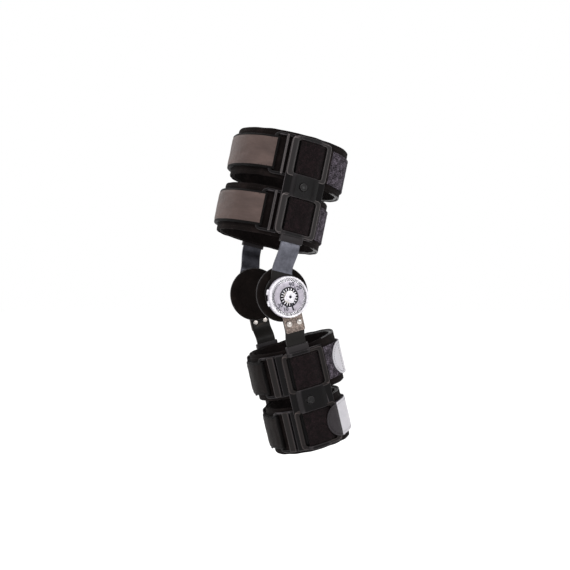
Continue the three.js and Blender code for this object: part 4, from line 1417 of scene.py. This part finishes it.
for cuff in CUFFS:
    thigh = cuff.limb is THIGH
    # On the calf the closure straps take the light grey as a painted highlight.
    front_finish, closure_finish = ("pad_strap", "pad_strap") if thigh else ("black_strap", "highlight_grey_strap")
    front_slot, closure_slot = ("strap_pad", "strap_pad") if thigh else ("strap_black", "strap_grey")
    # The upper calf's tab takes the light grey as a painted highlight; the other tabs keep the dark hook
    # finish.
    tab_finish = "hook" if cuff.name != "upper_calf" else "highlight_grey_strap"

    def add(part, shape, finish, slot, stands_for=True, **options):
        nodes = (f"{cuff.name}_{part}",) if stands_for else ()
        name = f"{cuff.name}_{part}_look"
        return piece(name, shape, cuff.limb, cuff.limb.cuff_body, finish, slot, nodes, **options)

    def sew(part, shape, slot, finish="thread"):
        add(f"{part}_stitching", shape, finish, slot, False)

    foam = add("liner", liner(cuff), "foam", "liner_foam", trim=("liner_edge", liner_trim(cuff)))
    sew("liner", liner_stitching(cuff), "liner_foam")
    binding = ("binding", front_trim(cuff))
    front = add("front_strap", front_strap(cuff), front_finish, front_slot, trim=binding)
    sew("front", front_stitching(cuff), front_slot)
    # In the windows the strap takes the darker loop finish as painted shade.
    rear = add("rear_strap", rear_strap(cuff), "loop", "loop_fabric", trim=("shaded_window_loop", rear_trim(cuff)))
    rear_track(cuff).length * 0.001
    sew("rear", rear_stitching(cuff), "loop_fabric")
    add("closure_strap", closure_strap(cuff), closure_finish, closure_slot)
    sew("closure", closure_stitching(cuff), closure_slot, "thread" if thigh else "grey_thread")
    add("closure_tab", closure_tab(cuff), tab_finish, "hook_tab")
    sew("tab", tab_stitching(cuff), "hook_tab")

# ---- Studio ------------------------------------------------------------------------------------

AZIMUTH, DISTANCE, HEIGHT = math.radians(68.89), 1.7777, 0.0004
YAW, PITCH, LENS = math.radians(-0.777), math.radians(-0.563), 75.2
FLOOR = -0.50


def camera():
    data = bpy.data.cameras.new("camera")
    data.lens, data.sensor_width = LENS, 36
    made = placed("camera", data)
    made.location = (DISTANCE * math.sin(AZIMUTH), -DISTANCE * math.cos(AZIMUTH), HEIGHT)
    heading = AZIMUTH + YAW
    level = math.cos(PITCH)
    back = Vector((math.sin(heading) * level, -math.cos(heading) * level, math.sin(PITCH)))
    made.rotation_euler = (-back).to_track_quat("-Z", "Y").to_euler()
    bpy.context.scene.camera = made


def backdrop():
    """A pale floor, slightly dished up at its rim."""
    profile = [(0, FLOOR), (4.0, FLOOR), (8.0, FLOOR + 0.05), (14.0, FLOOR + 0.3)]
    points, faces, segments = [(0, 0, FLOOR)], [], 96
    for r, z in profile[1:]:
        angles = (2 * math.pi * i / segments for i in range(segments))
        points += [(r * math.cos(a), r * math.sin(a), z) for a in angles]
    for i in range(segments):
        n = (i + 1) % segments
        faces.append((0, 1 + i, 1 + n))
        for k in range(len(profile) - 2):
            a, b = 1 + k * segments, 1 + (k + 1) * segments
            faces.append((a + i, b + i, b + n, a + n))
    mesh = bpy.data.meshes.new("backdrop")
    mesh.from_pydata(points, [], faces)
    mesh.shade_smooth()
    paper = Finish("paper_white", (0.93, 0.93, 0.93), 0.9, Emission_Color=(1, 1, 1, 1),
                   Emission_Strength=0.16)
    paper.tint(paper.speckle(3, 3), [(0.3, (0.92, 0.92, 0.92)), (0.7, (0.94, 0.94, 0.94))])
    mesh.materials.append(paper.material)
    placed("backdrop", mesh)


def area_light(name, place, aim, size, power, color=(1, 1, 1)):
    data = bpy.data.lights.new(name, "AREA")
    data.shape, data.size, data.energy, data.color = "SQUARE", size, power, color
    made = placed(name, data)
    made.location = place
    made.rotation_euler = (Vector(aim) - Vector(place)).to_track_quat("-Z", "Y").to_euler()


camera()
backdrop()
area_light("key", (1.5, -1.9, 1.9), (0, 0, 0), 0.7, 34)
area_light("fill", (2.2, 0.9, 0.5), (0, 0, 0), 0.5, 9)
area_light("top", (0.0, 0.3, 2.2), (0, 0, 0), 1.2, 12)
area_light("back", (-1.7, -1.2, 1.2), (0, 0, 0), 1.2, 14)
world = bpy.data.worlds.new("studio")
world.use_nodes = True
world.node_tree.nodes["Background"].inputs["Color"].default_value = (1, 1, 1, 1)
world.node_tree.nodes["Background"].inputs["Strength"].default_value = 1.0
bpy.context.scene.world = world
bpy.context.scene.view_settings.view_transform = "Standard"
